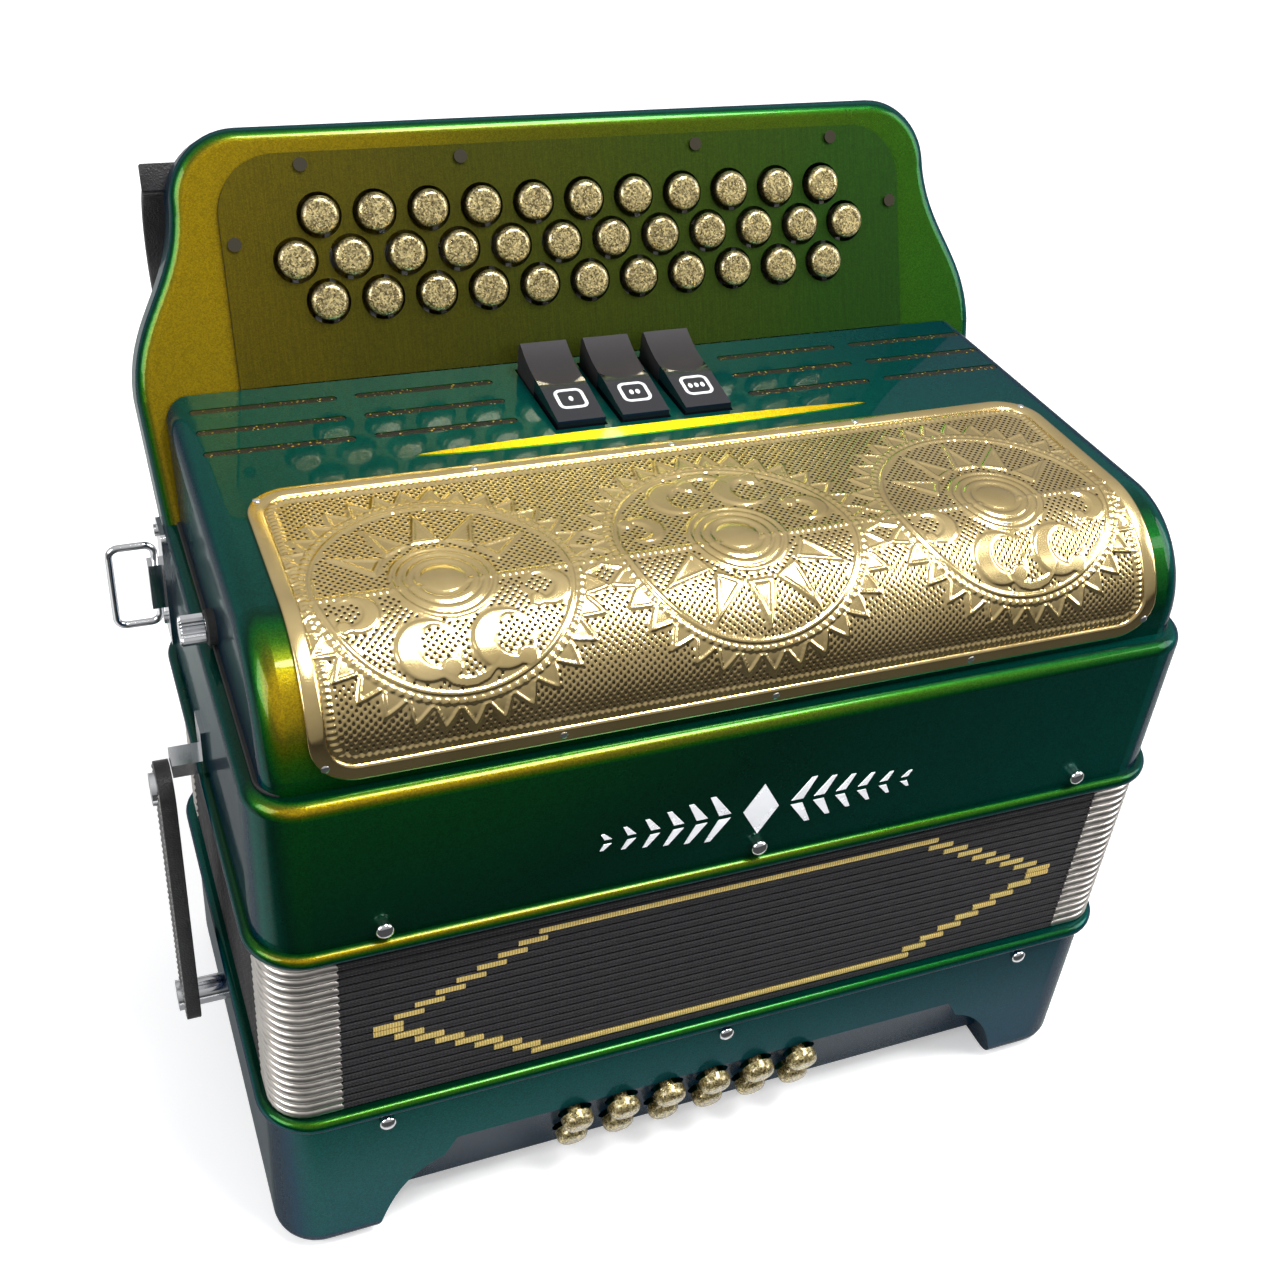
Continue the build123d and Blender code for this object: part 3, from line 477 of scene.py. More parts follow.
# The sheet under the grille: its near-black is painted shade of the hollow beneath the holes.
painted_shade_cloth, tree, shader = new_material("painted_shade_cloth", Specular_IOR_Level=0.25)
weave = place_group(tree, weave_group, Threads=4200.0)
give_color(tree, shader, weave["Height"], (0.012, 0.006, 0.002, 1), (0.05, 0.032, 0.012, 1))
give_bump(tree, shader, weave["Height"], 0.0001, 0.6)
gloss = give_gloss(tree, shader, 150.0, 0.7, 0.9)

slot_mesh, tree, shader = new_material("slot_mesh", Specular_IOR_Level=0.3)
chips = place_group(tree, glitter_group, Chips=1900.0, Dark=(0.006, 0.006, 0.004, 1),
                    Bright=(0.75, 0.55, 0.12, 1))
speck = math_node(tree, "GREATER_THAN", chips["Chip"], 0.93)
give_color(tree, shader, speck, (0.006, 0.006, 0.004, 1), chips["Color"])
tree.links.new(speck, shader["Metallic"])
give_bump(tree, shader, chips["Height"], 0.0002, 0.6)

black_leather, tree, shader = new_material("black_leather", Specular_IOR_Level=0.45)
grain = place_group(tree, leather_group, Pores=900.0)
give_color(tree, shader, grain["Shade"], (0.008, 0.008, 0.009, 1), (0.030, 0.029, 0.030, 1))
give_bump(tree, shader, grain["Height"], 0.00012, 0.7)
gloss = give_gloss(tree, shader, 90.0, 0.32, 0.55)

thread, tree, shader = new_material("thread", Sheen_Weight=0.3)
twist = place_group(tree, brush_group, Squeeze=(2500.0, 2500.0, 2500.0))["Streak"]
give_color(tree, shader, twist, (0.10, 0.10, 0.10, 1), (0.32, 0.31, 0.29, 1))
give_bump(tree, shader, twist, 0.0001, 0.5)
gloss = give_gloss(tree, shader, 300.0, 0.5, 0.7)


def wood(name, light, dark, squeeze):
    material, tree, shader = new_material(name, Specular_IOR_Level=0.35)
    grain = place_group(tree, brush_group, Squeeze=squeeze)["Streak"]
    give_color(tree, shader, grain, dark, light)
    give_bump(tree, shader, grain, 0.0001, 0.4)
    gloss = place_group(tree, smudge_group, Size=60.0, Low=0.5, High=0.7)
    tree.links.new(gloss["Roughness"], shader["Roughness"])
    return material


plywood = wood("plywood", (0.42, 0.27, 0.14, 1), (0.22, 0.12, 0.05, 1), (12.0, 260.0, 500.0))
spruce = wood("spruce", (0.62, 0.46, 0.27, 1), (0.40, 0.25, 0.12, 1), (10.0, 500.0, 500.0))

rubber, tree, shader = new_material("rubber", Specular_IOR_Level=0.3)
gloss = give_gloss(tree, shader, 220.0, 0.6, 0.85)
give_color(tree, shader, gloss["Mask"], (0.008, 0.008, 0.008, 1), (0.03, 0.03, 0.03, 1))
give_bump(tree, shader, gloss["Mask"], 0.0001, 0.4)
print("quiet materials made")

# %% [markdown]
# ## Gold tape and the glitter caps
# The pattern on the bellows is a band of gold thread, so its ridges run across its length. The
# button caps take the glitter group; the part of each button under the plate is bare metal, so an
# object-space mask along the keyboard's own direction changes the finish there. The glitter also
# carries painted light: a painted highlight at the foot of each cap and painted shade on its
# shoulder and wall, set by the slope of the surface.

# %% Gold tape and caps
gold_tape, tree, shader = new_material("gold_tape", Specular_IOR_Level=0.6)
place = add_node(tree, "ShaderNodeTexCoord").outputs["Object"]
parts = add_node(tree, "ShaderNodeSeparateXYZ", {0: place}).outputs
strands = math_node(tree, "SINE", math_node(tree, "MULTIPLY", parts[0], 7000.0))
level = math_node(tree, "MULTIPLY_ADD", strands, 0.5, 0.5)
give_color(tree, shader, level, (0.40, 0.28, 0.06, 1), (0.88, 0.68, 0.26, 1))
tree.links.new(math_node(tree, "MULTIPLY_ADD", level, 0.35, 0.35), shader["Metallic"])
give_bump(tree, shader, level, 0.00012, 0.7)
gloss = give_gloss(tree, shader, 200.0, 0.32, 0.5)


def cap_finish(name, chips_per_metre, out, up, level_at, wall_shade, shoulder_shade):
    """Glitter where out . position is above level_at, bare metal below it.

    The glitter's colour carries painted light set by the slope of the surface: a painted highlight
    where clear resin would gather the light at the foot of each cap, and painted shade on its
    shoulder and wall, the wall's shade also standing for the dark hole round the cap.
    """
    material, tree, shader = new_material(name, Coat_Weight=1.0, Coat_Roughness=0.03)
    place = add_node(tree, "ShaderNodeTexCoord").outputs["Object"]
    along = add_node(tree, "ShaderNodeVectorMath", {0: place, 1: out},
                     operation="DOT_PRODUCT").outputs["Value"]
    facing = add_node(tree, "ShaderNodeTexCoord").outputs["Normal"]
    outward, upward = [add_node(tree, "ShaderNodeVectorMath", {0: facing, 1: way},
                                operation="DOT_PRODUCT").outputs["Value"] for way in (out, up)]
    # Painted shade on the wall and shoulder of each cap, painted highlight at its foot.
    wall = add_node(tree, "ShaderNodeMapRange", {0: outward, 1: 0.15, 2: 0.7, 3: wall_shade, 4: 1.0})
    gather = add_node(tree, "ShaderNodeMapRange", {0: upward, 1: -0.5, 2: 0.5, 3: 1.5,
                                                     4: shoulder_shade})
    lit = math_node(tree, "MULTIPLY", wall.outputs[0], gather.outputs[0])
    cap = math_node(tree, "GREATER_THAN", along, level_at)
    chips = place_group(tree, glitter_group, Chips=chips_per_metre)
    foil = blend_colors(tree, 1.0, chips["Color"], lit, "MULTIPLY")
    give_color(tree, shader, cap, (0.30, 0.29, 0.28, 1), foil)
    give_bump(tree, shader, chips["Height"], 0.00015, 0.4)
    tree.links.new(math_node(tree, "MULTIPLY_ADD", chips["Chip"], 0.3, 0.62), shader["Metallic"])
    gloss = place_group(tree, smudge_group, Size=300.0, Low=0.22, High=0.4)
    tree.links.new(gloss["Roughness"], shader["Roughness"])
    return material


LEAN = math.radians(23.4)
board_out = Vector((0, -math.cos(LEAN), math.sin(LEAN)))
plate_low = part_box("fingerboard_plate")[0]
plate_face = board_out.dot(Vector((0, plate_low.y, plate_low.z)))
board_up = Vector((0, math.sin(LEAN), math.cos(LEAN)))
treble_caps = cap_finish("treble_caps", 1900.0, board_out, board_up,
                         plate_face - 4 * MM, 0.10, 0.45)
bass_caps = cap_finish("bass_caps", 1900.0, (0, -0.95, -0.31), (0, -0.31, 0.95), -1.0,
                       0.9, 0.75)
print("cap level along the board's normal:", round(plate_face, 4))

# %% [markdown]
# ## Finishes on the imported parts
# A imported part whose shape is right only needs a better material, so its slots are filled here.

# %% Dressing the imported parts
FINISHES = {"painted_case": case_lacquer, "painted_cover": cover_lacquer,
            "painted_bass": bass_lacquer, "painted_plate": plate_lacquer,
            "plywood": plywood, "spruce": spruce, "steel_rod": steel, "chrome": chrome_plating,
            "nickel": nickel_plating, "rubber_pad": rubber, "gold_glitter": bass_caps}
for label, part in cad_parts.items():
    for slot in part.material_slots:
        finish = FINISHES.get(slot.material.name.split(".")[0])
        if label.startswith("treble_button"):
            finish = treble_caps
        if label == "treble_fasteners":
            finish = fittings
        if finish:
            slot.material = finish
print("parts dressed:", len(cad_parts))

# %% [markdown]
# ## The register tabs
# Three rocking tabs of black plastic. The front half is polished, the rear half is a matte
# finger rest with a round lower edge, and each carries a small silver badge. The rest is a mask
# in the material, and the badge is its own thin piece that rides on its tab.

# %% Tabs and badges
def tab_finish(name, middle, rest_at):
    material, tree, shader = new_material(name, Specular_IOR_Level=0.3, Coat_Roughness=0.03)
    place = add_node(tree, "ShaderNodeTexCoord").outputs["Object"]
    parts = add_node(tree, "ShaderNodeSeparateXYZ", {0: place}).outputs
    side = math_node(tree, "MULTIPLY", math_node(tree, "SUBTRACT", parts[0], middle), 120.0)
    side = math_node(tree, "POWER", math_node(tree, "ABSOLUTE", side), 3.0)
    edge = math_node(tree, "MULTIPLY_ADD", side, 0.005, rest_at)
    rest = add_node(tree, "ShaderNodeMapRange",
                    {0: math_node(tree, "SUBTRACT", parts[1], edge), 1: -0.0006, 2: 0.0006}).outputs[0]
    mottle = place_group(tree, smudge_group, Size=160.0, Low=0.0, High=0.12)
    give_color(tree, shader, rest, (0.005, 0.005, 0.008, 1), (0.016, 0.014, 0.016, 1))
    tree.links.new(math_node(tree, "ADD", math_node(tree, "MULTIPLY_ADD", rest, 0.42, 0.06),
                             mottle["Roughness"]), shader["Roughness"])
    tree.links.new(math_node(tree, "SUBTRACT", 1.0, rest, clamp=True), shader["Coat Weight"])
    give_bump(tree, shader, mottle["Mask"], 0.00005, 0.3)
    return material


def tree_of(label):
    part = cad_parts[label]
    return BVHTree.FromPolygons([v.co for v in part.data.vertices],
                                [p.vertices[:] for p in part.data.polygons])


def drop_on(surface, x, y, lift):
    """The point lift above the surface under (x, y)."""
    hit = surface.ray_cast(Vector((x, y, 1.0)), Vector((0, 0, -1)))
    return hit[0] + hit[1] * lift


BADGE_HALF, BADGE_ROUND, BADGE_BAR = 4.7 * MM, 2.1 * MM, 0.6 * MM
for number in (1, 2, 3):
    label = f"register_switch_{number}"
    low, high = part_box(label)
    middle = (low.x + high.x) / 2
    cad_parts[label].material_slots[0].material = tab_finish(
        f"tab_plastic_{number}", middle, low.y + 20 * MM)
    surface = tree_of(label)
    badge_y = low.y + 11.5 * MM
    shells = Shells()
    ring = []
    for x, y, out_x, out_y in rounded_path(BADGE_HALF, BADGE_HALF, BADGE_ROUND, 5):
        ring.append([drop_on(surface, middle + x + out_x * off, badge_y + y + out_y * off, lift)
                     for off, lift in ((BADGE_BAR, -0.1 * MM), (BADGE_BAR, 0.12 * MM),
                                       (0, 0.22 * MM), (-BADGE_BAR, 0.12 * MM),
                                       (-BADGE_BAR, -0.1 * MM))])
    shells.add(ring, closed_path=True)
    for dot in range(number):
        dot_x = middle + (dot - (number - 1) / 2) * 2.3 * MM
        rings = [[drop_on(surface, dot_x + radius * math.cos(a), badge_y + 1.6 * radius * math.sin(a),
                          lift) for a in full_turn(12)]
                 for radius, lift in ((0.8 * MM, -0.1 * MM), (0.8 * MM, 0.1 * MM),
                                      (0.4 * MM, 0.2 * MM))]
        shells.add(rings)
    badge = make_piece(f"tab_badge_{number}", shells.points, shells.faces, silver_inlay)
    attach(badge, f"register_{number}")
print("tabs finished: 3")

# %% [markdown]
# ## The gold grille: its sheet
# The real grille is one sheet of brass, pressed, pierced and bent over the cover's round front
# edge. It could be sculpted, but a height field is closer to a press tool: every point knows its
# place on the flat sheet, and a second function bends the flat sheet over the cover.

# %% Bending the flat sheet
grille_low, grille_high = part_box("grille_plate")
COVER_ROUND = 35 * MM
SHEET_THICK = 1.4 * MM
SHEET_STAND = 0.6 * MM
bend_y = grille_low.y + SHEET_THICK + COVER_ROUND
bend_z = grille_high.z - SHEET_THICK - COVER_ROUND
flat_run = grille_high.y - bend_y
arc_run = (COVER_ROUND + SHEET_STAND) * math.pi / 2
drop_run = bend_z - grille_low.z
SHEET_HALF = grille_high.x
SHEET_LONG = flat_run + arc_run + drop_run


def on_sheet(x, t, height):
    """Where the point x, t of the flat sheet lies once bent; height is above the sheet."""
    x, t, height = np.broadcast_arrays(x, t, height)
    reach = COVER_ROUND + SHEET_STAND + height
    turn = np.clip((t - flat_run) / arc_run, 0, 1) * math.pi / 2
    down = np.clip(t - flat_run - arc_run, 0, None)
    back = np.clip(flat_run - t, 0, None)
    y = bend_y + back - reach * np.sin(turn)
    z = bend_z + reach * np.cos(turn) - down
    return np.stack([x, y, z], -1)


print("flat sheet", round(2 * SHEET_HALF, 4), "by", round(SHEET_LONG, 4))

# %% [markdown]
# ## The gold grille: its drawing
# The pattern is three round medallions of rings, pointed rays, curled leaves and a toothed rim,
# with the middle one turned over. Each is drawn as a height over distance and angle. Where the
# drawing is raised the sheet stays whole, and everywhere else it is pierced.

# %% Drawing one medallion
def ridge(distance, width):
    """A rounded ridge, 1 on its line and 0 at width from it."""
    return np.sqrt(np.clip(1 - (distance / width) ** 2, 0, 1))


def medallion(x, y):
    """Height in mm and whole-metal mask of one medallion, for x, y in mm from its middle."""
    rho, angle = np.hypot(x, y), np.arctan2(y, x)
    height = np.zeros_like(rho)
    whole = rho < 15.6
    height = np.maximum(height, 0.62 * ridge(rho, 6.6))
    for line, width in ((9.3, 1.25), (12.4, 1.1), (15.0, 0.8)):
        height = np.maximum(height, 0.42 * ridge(rho - line, width))
    for turn in (-150, -120, -90, -60, -30):
        away = np.radians(turn)
        along = x * math.cos(away) + y * math.sin(away)
        side = np.abs(-x * math.sin(away) + y * math.cos(away))
        half = np.clip((35.0 - along) / (35.0 - 18.5), 0, 1) * 4.6
        inside = (along > 18.5) & (along < 35.0) & (side < half)
        rim = np.minimum(half - side, (along - 18.5) * 0.9)
        height = np.where(inside, np.maximum(height, 0.12 + 0.42 * ridge(rim - 0.75, 0.75)), height)
        whole |= inside
    for middle_x, middle_y, size, flip in ((-10.5, 24.0, 9.4, 1), (11.5, 24.0, 9.4, 1),
                                           (-27.5, 9.5, 7.0, -1), (28.5, 9.5, 7.0, -1)):
        outer = np.hypot(x - middle_x, y - middle_y)
        inner = np.hypot(x - middle_x - 0.38 * size * flip, y - middle_y + 0.10 * size)
        body = (outer < size) & (inner > 0.62 * size)
        ball = np.hypot(x - middle_x - 0.62 * size * flip, y - middle_y - 0.62 * size) < 0.30 * size
        edge = np.minimum(size - outer, inner - 0.62 * size)
        height = np.where(body, np.maximum(height, 0.5 * np.clip(edge / 0.9, 0, 1)), height)
        height = np.where(ball, 0.5, height)
        whole |= body | ball
    leaf = (np.hypot(x, y - 26.0) < 10.0) & (np.hypot(x, y - 21.5) > 11.6)
    height = np.where(leaf, 0.45, height)
    whole |= leaf
    height = np.maximum(height, 0.40 * ridge(rho - 37.6, 0.8))
    beads = 0.5 + 0.5 * np.cos(angle * 96)
    height = np.maximum(height, (0.22 + 0.34 * beads) * ridge(rho - 39.9, 1.15))
    whole |= (rho > 36.8) & (rho < 41.2)
    teeth = 34
    phase = np.abs((angle * teeth / (2 * math.pi)) % 1 - 0.5) * 2
    reach = np.clip((48.6 - rho) / 7.0, 0, 1)
    tooth = (rho > 41.2) & (rho < 48.6) & (phase < reach)
    rim = np.minimum((reach - phase) * 4.0, 48.6 - rho)
    height = np.where(tooth, np.maximum(height, 0.10 + 0.45 * ridge(rim - 0.7, 0.7)), height)
    whole |= tooth
    return height, whole, rho


print("medallion radius 48.6 mm, teeth 34")

# %% [markdown]
# ## The gold grille: pressing and piercing
# The field is one grid of points. For a hole, the four faces round a grid point go and the ring of
# eight points about it moves to a circle, so the holes are real and round, not painted.

# %% The pierced field
GRID = 0.4
EDGE = 4.6
half_x_mm, long_mm = SHEET_HALF / MM, SHEET_LONG / MM
columns = int(round((2 * half_x_mm - 2 * EDGE) / GRID)) + 1
rows = int(round((long_mm - 2 * EDGE) / GRID)) + 1
grid_x, grid_t = np.meshgrid((np.arange(columns) - (columns - 1) / 2) * GRID,
                             EDGE + np.arange(rows) * GRID, indexing="ij")
from_middle = grid_t - long_mm / 2
relief = np.zeros_like(grid_x)
whole = np.zeros(grid_x.shape, bool)
nearest = np.full(grid_x.shape, 1e9)
for middle, over in ((-93.0, -1), (93.0, -1), (0.0, 1)):
    drawn, solid, rho = medallion(grid_x - middle, from_middle * over * -1)
    front = (rho < 41.5) | (solid & (rho < nearest))
    relief = np.where(front, drawn, np.maximum(relief, np.where(solid, drawn, 0)))
    whole = np.where(front, solid, whole | solid)
    nearest = np.minimum(nearest, rho)


def row_of_bars(distance, along, pitch=1.9, width=1.15):
    return 0.55 * ridge(distance, width) * (0.25 + 0.75 * (0.5 + 0.5 * np.cos(
        along * 2 * math.pi / pitch)))


corner = 14.0
BARS_IN, BORDER_IN, CREASE_AT = 6.9, 8.4, 61.0
past_x = np.clip(np.abs(grid_x) - (half_x_mm - corner), 0, None)
past_t = np.clip(np.abs(from_middle) - (long_mm / 2 - corner), 0, None)
inset = np.where((past_x > 0) & (past_t > 0), corner - np.hypot(past_x, past_t),
                 np.minimum(half_x_mm - np.abs(grid_x), long_mm / 2 - np.abs(from_middle)))
on_end = (half_x_mm - np.abs(grid_x)) < (long_mm / 2 - np.abs(from_middle))
run = np.where(on_end, grid_t, grid_x)
border = row_of_bars(inset - BARS_IN, run)
crease = row_of_bars(grid_t - CREASE_AT, grid_x, 1.9, 1.0) * (np.abs(grid_x) < half_x_mm - 8)
crease_clear = np.abs(nearest) > 6.8
relief = np.maximum(relief, np.maximum(border, crease * crease_clear))
whole |= (inset < BORDER_IN) | ((np.abs(grid_t - CREASE_AT) < 1.3) & crease_clear)

column, row = np.meshgrid(np.arange(columns), np.arange(rows), indexing="ij")
lattice = ((column % 6 == 0) & (row % 6 == 0)) | ((column % 6 == 3) & (row % 6 == 3))
clear = ~whole
for shift_c in (-1, 0, 1):
    for shift_r in (-1, 0, 1):
        clear &= ~np.roll(np.roll(whole, shift_c, 0), shift_r, 1)
holes = lattice & clear & (column > 1) & (column < columns - 2) & (row > 1) & (row < rows - 2)
hole_c, hole_r = np.nonzero(holes)
HOLE_RADIUS = 0.50
field_x, field_t = grid_x.copy(), grid_t.copy()
for step_c in (-1, 0, 1):
    for step_r in (-1, 0, 1):
        if step_c or step_r:
            length = math.hypot(step_c, step_r)
            field_x[hole_c + step_c, hole_r + step_r] = (
                grid_x[hole_c, hole_r] + HOLE_RADIUS * step_c / length)
            field_t[hole_c + step_c, hole_r + step_r] = (
                grid_t[hole_c, hole_r] + HOLE_RADIUS * step_r / length)
            relief[hole_c + step_c, hole_r + step_r] = -0.12
keep = np.ones((columns - 1, rows - 1), bool)
for step_c in (-1, 0):
    for step_r in (-1, 0):
        keep[hole_c + step_c, hole_r + step_r] = False
keep &= inset[:-1, :-1] > 2.4
print("grille holes:", len(hole_c), "faces:", int(keep.sum()))

# %% The field as a mesh
number = np.arange(columns * rows).reshape(columns, rows)
quads = np.stack([number[:-1, :-1], number[1:, :-1], number[1:, 1:], number[:-1, 1:]], -1)[keep]
used, inverse = np.unique(quads, return_inverse=True)
bent = on_sheet(field_x * MM, field_t * MM, np.clip(relief, -0.2, 0.76) * MM).reshape(-1, 3)[used]
quads = inverse.reshape(-1, 4)[:, ::-1]
mesh = bpy.data.meshes.new("grille_field")
mesh.vertices.add(len(bent))
mesh.vertices.foreach_set("co", bent.astype(np.float32).ravel())
mesh.loops.add(quads.size)
mesh.loops.foreach_set("vertex_index", quads.ravel().astype(np.int32))
mesh.polygons.add(len(quads))
mesh.polygons.foreach_set("loop_start", np.arange(0, quads.size, 4, dtype=np.int32))
mesh.polygons.foreach_set("loop_total", np.full(len(quads), 4, dtype=np.int32))
mesh.update(calc_edges=True)
mesh.validate()
mesh.polygons.foreach_set("use_smooth", [True] * len(mesh.polygons))
mesh.materials.append(gold_plating)
grille_field = bpy.data.objects.new("grille_field", mesh)
bpy.context.scene.collection.objects.link(grille_field)
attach(grille_field, "treble_side")
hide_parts("grille_plate")
print("grille points:", len(bent))

# %% [markdown]
# ## The grille's frame, screws and the dark sheet beneath
# A smooth polished border runs round the pierced field and hides its cut edge. It is a small
# moulding drawn round the flat sheet's rounded outline and bent with it. Behind the holes is a dark
# woven sheet, stretched flat, that stands for the shade in the hollow under the grille, and small
# screws hold the border down.

# %% The polished border
def fine_outline(half_x, half_t, radius, step):
    """The rounded outline with its long sides divided, so that it can bend."""
    path = rounded_path(half_x, half_t, radius, 10)
    fine = []
    for one, two in zip(path, path[1:] + path[:1]):
        gap = math.hypot(two[0] - one[0], two[1] - one[1])
        count = max(1, int(gap / step))
        for i in range(count):
            share = i / count
            fine.append([a + (b - a) * share for a, b in zip(one, two)])
    return fine


BORDER = [(0.0, -0.55), (0.0, 0.35), (0.35, 0.68), (1.0, 0.76), (4.2, 0.72), (4.9, 0.45),
          (5.3, 0.0), (5.3, -0.35)]
rings = []
for x, t, out_x, out_t in fine_outline(half_x_mm, long_mm / 2, corner, 1.6):
    rings.append([on_sheet((x - out_x * inward) * MM, (t + long_mm / 2 - out_t * inward) * MM,
                           up * MM) for inward, up in BORDER])
frame_shell = Shells()
frame_shell.add(rings, closed_path=True)
grille_border = make_piece("grille_border", frame_shell.points, frame_shell.faces, gold_plating, 60)
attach(grille_border, "treble_side")
print("border points:", len(frame_shell.points))

# %% The dark sheet under the grille
# Painted shade: this dark woven sheet under the holes stands for the shaded hollow beneath the grille.
CLOTH_IN, CLOTH_UP = 4.0 * MM, -0.42 * MM
cloth_x = np.linspace(-SHEET_HALF + CLOTH_IN, SHEET_HALF - CLOTH_IN, 24)
cloth_t = np.linspace(CLOTH_IN, SHEET_LONG - CLOTH_IN, 48)
xs, ts = np.meshgrid(cloth_x, cloth_t, indexing="ij")
points = on_sheet(xs, ts, CLOTH_UP).reshape(-1, 3)
faces = [(i * 48 + j, i * 48 + j + 1, (i + 1) * 48 + j + 1, (i + 1) * 48 + j)
         for i in range(23) for j in range(47)]
grille_shade_sheet = make_piece("grille_shade_sheet", points, faces, painted_shade_cloth, None)
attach(grille_shade_sheet, "treble_side")
print("cloth cut to", round(2 * (SHEET_HALF - CLOTH_IN), 3), "by", round(SHEET_LONG - 2 * CLOTH_IN, 3))

# %% The border screws
def screw_shell(shells, centre, out, radius, rise):
    """A low domed head at centre, standing out along out."""
    side = out.orthogonal().normalized()
    other = out.cross(side)
    rings = []
    for share, up in ((1.0, -0.6), (1.0, 0.1), (0.86, 0.55), (0.55, 0.88), (0.2, 1.0)):
        rings.append([centre + out * (rise * up) + (side * math.cos(a) + other * math.sin(a))
                      * radius * share for a in full_turn(16)])
    shells.add(rings)


heads = Shells()
SCREW_IN = 2.6
for x in (-136.0, -67.0, 1.0, 70.0, 136.0):
    for t in (SCREW_IN, long_mm - SCREW_IN):
        if abs(x) > 130:
            t = 6.0 if t < 50 else long_mm - 6.0
        centre = Vector(on_sheet(x * MM, t * MM, 0.70 * MM))
        above = Vector(on_sheet(x * MM, t * MM, 1.70 * MM))
        screw_shell(heads, centre, (above - centre).normalized(), 1.25 * MM, 0.35 * MM)
border_screws = make_piece("border_screws", heads.points, heads.faces, chrome_plating)
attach(border_screws, "treble_side")
print("border screws: 10")

# %% [markdown]
# ## Mesh in the sound slots
# Each long slot in the cover is filled, just below the surface, with black metal-flecked mesh that
# lets the sound out. The real maker presses a strip in, so each filling is its own rounded bar.

# %% The slot fillings
COVER_TOP = 246 * MM
SLOT_LONG, SLOT_WIDE, SLOT_SUNK, SLOT_THICK = 48.7 * MM, 3.4 * MM, 0.2 * MM, 1.4 * MM
SLOT_MIDDLES = (67.35 * MM, 122.15 * MM)
SLOT_BACK = (129.5 * MM, 143.5 * MM, 157.5 * MM)
fillings = Shells()
for back in SLOT_BACK:
    for middle in SLOT_MIDDLES:
        for side in (-1, 1):
            half, round_end = SLOT_LONG / 2 - 0.1 * MM, SLOT_WIDE / 2 - 0.1 * MM
            rings = []
            for up, scale in ((-SLOT_THICK, 1.0), (-0.2 * MM, 1.0), (0.0, 0.9)):
                rings.append([(side * middle + x - (1 - scale) * out_x * round_end,
                               cad_low_beads + back + y * scale, COVER_TOP - SLOT_SUNK + up)
                              for x, y, out_x, _ in rounded_path(half, round_end, round_end, 6)])
            fillings.add(rings)
slot_fill = make_piece("slot_fillings", fillings.points, fillings.faces, slot_mesh)
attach(slot_fill, "treble_side")
print("slot fillings: 12")

# %% [markdown]
# ## The seal and the thumbscrews
# The cover lifts off for tuning. A thin black seal lies round its foot, and two knurled screws
# with black washers hold its ends, so both break the green with a dark line.

# %% The cover's seal
cover_low, cover_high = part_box("grille_cover")
SEAL_OUT, SEAL_HIGH, SEAL_ROUND = 1.3 * MM, 0.9 * MM, 8 * MM
seal_rear = 55 * MM
seal_half = cover_high.x
path = [(-seal_half, seal_rear, -1, 0)]
for turn, side in ((180, -1), (270, 1)):
    for i in range(9):
        angle = math.radians(turn + 90 * i / 8)
        path.append((side * (seal_half - SEAL_ROUND) + SEAL_ROUND * math.cos(angle),
                     cover_low.y + SEAL_ROUND + 1.4 * MM + SEAL_ROUND * math.sin(angle),
                     math.cos(angle), math.sin(angle)))
path.append((seal_half, seal_rear, 1, 0))
seal = Shells()
seal.add([[(x + out_x * out, y + out_y * out, cover_low.z + up)
           for out, up in ((-0.5 * MM, 0), (SEAL_OUT, 0), (SEAL_OUT, 0.6 * SEAL_HIGH),
                           (0.7 * SEAL_OUT, SEAL_HIGH), (-0.5 * MM, SEAL_HIGH))]
          for x, y, out_x, out_y in path])
cover_seal = make_piece("cover_seal", seal.points, seal.faces, rubber)
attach(cover_seal, "treble_side")
print("seal points:", len(seal.points))

# %% The thumbscrews
SCREW_Y, SCREW_Z = cad_low_beads + 83 * MM, 213.5 * MM
for label, side in (("left", -1), ("right", 1)):
    washer, knob = Shells(), Shells()
    turns = full_turn(48)
    for shells, profile, flutes in (
            (washer, ((153.0, 5.3), (153.0, 5.6), (155.4, 5.6), (155.8, 5.2), (155.8, 4.3)), 0.0),
            (knob, ((156.0, 4.0), (156.3, 4.4), (163.0, 4.4), (163.6, 4.0), (163.6, 1.5)), 0.14)):
        shells.add([[(side * x * MM, SCREW_Y + radius * (1 + flutes * (i % 2 - 0.5) * (radius > 3))
                      * MM * math.cos(a), SCREW_Z + radius
                      * (1 + flutes * (i % 2 - 0.5) * (radius > 3)) * MM * math.sin(a))
                     for i, a in enumerate(turns)] for x, radius in profile])
    ring = make_piece(f"thumbscrew_washer_{label}", washer.points, washer.faces, rubber)
    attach(ring, "treble_side")
    grip = make_piece(f"thumbscrew_knurl_{label}", knob.points, knob.faces, chrome_plating, 20)
    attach(grip, "treble_side")
print("thumbscrews dressed: 2")

# %% [markdown]
# ## The bellows
# Bellows are folded card, edged with woven tape and tipped at each corner with nickel. When the
# instrument opens, the card leaves spread while tape and corners keep their size. One big mesh
# would stretch the metal, so each fold is its own set of pieces.

# %% Sharing the opening between the folds
FOLDS = 21
folds_low, folds_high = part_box("bellows_folds")
PITCH = (folds_high.z - folds_low.z) / FOLDS
bellows_half_x = folds_high.x
bellows_half_y = (folds_high.y - folds_low.y) / 2
bellows_y = (folds_high.y + folds_low.y) / 2
FOLD_ROUND = 12.6 * MM


def spread_fold(piece):
    """Bakes the piece's placement into its mesh; no share of the opening is given to it here."""
    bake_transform(piece)


def carry_fold(piece):
    """Bakes the piece's placement into its mesh; no share of the opening is given to it here."""
    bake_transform(piece)


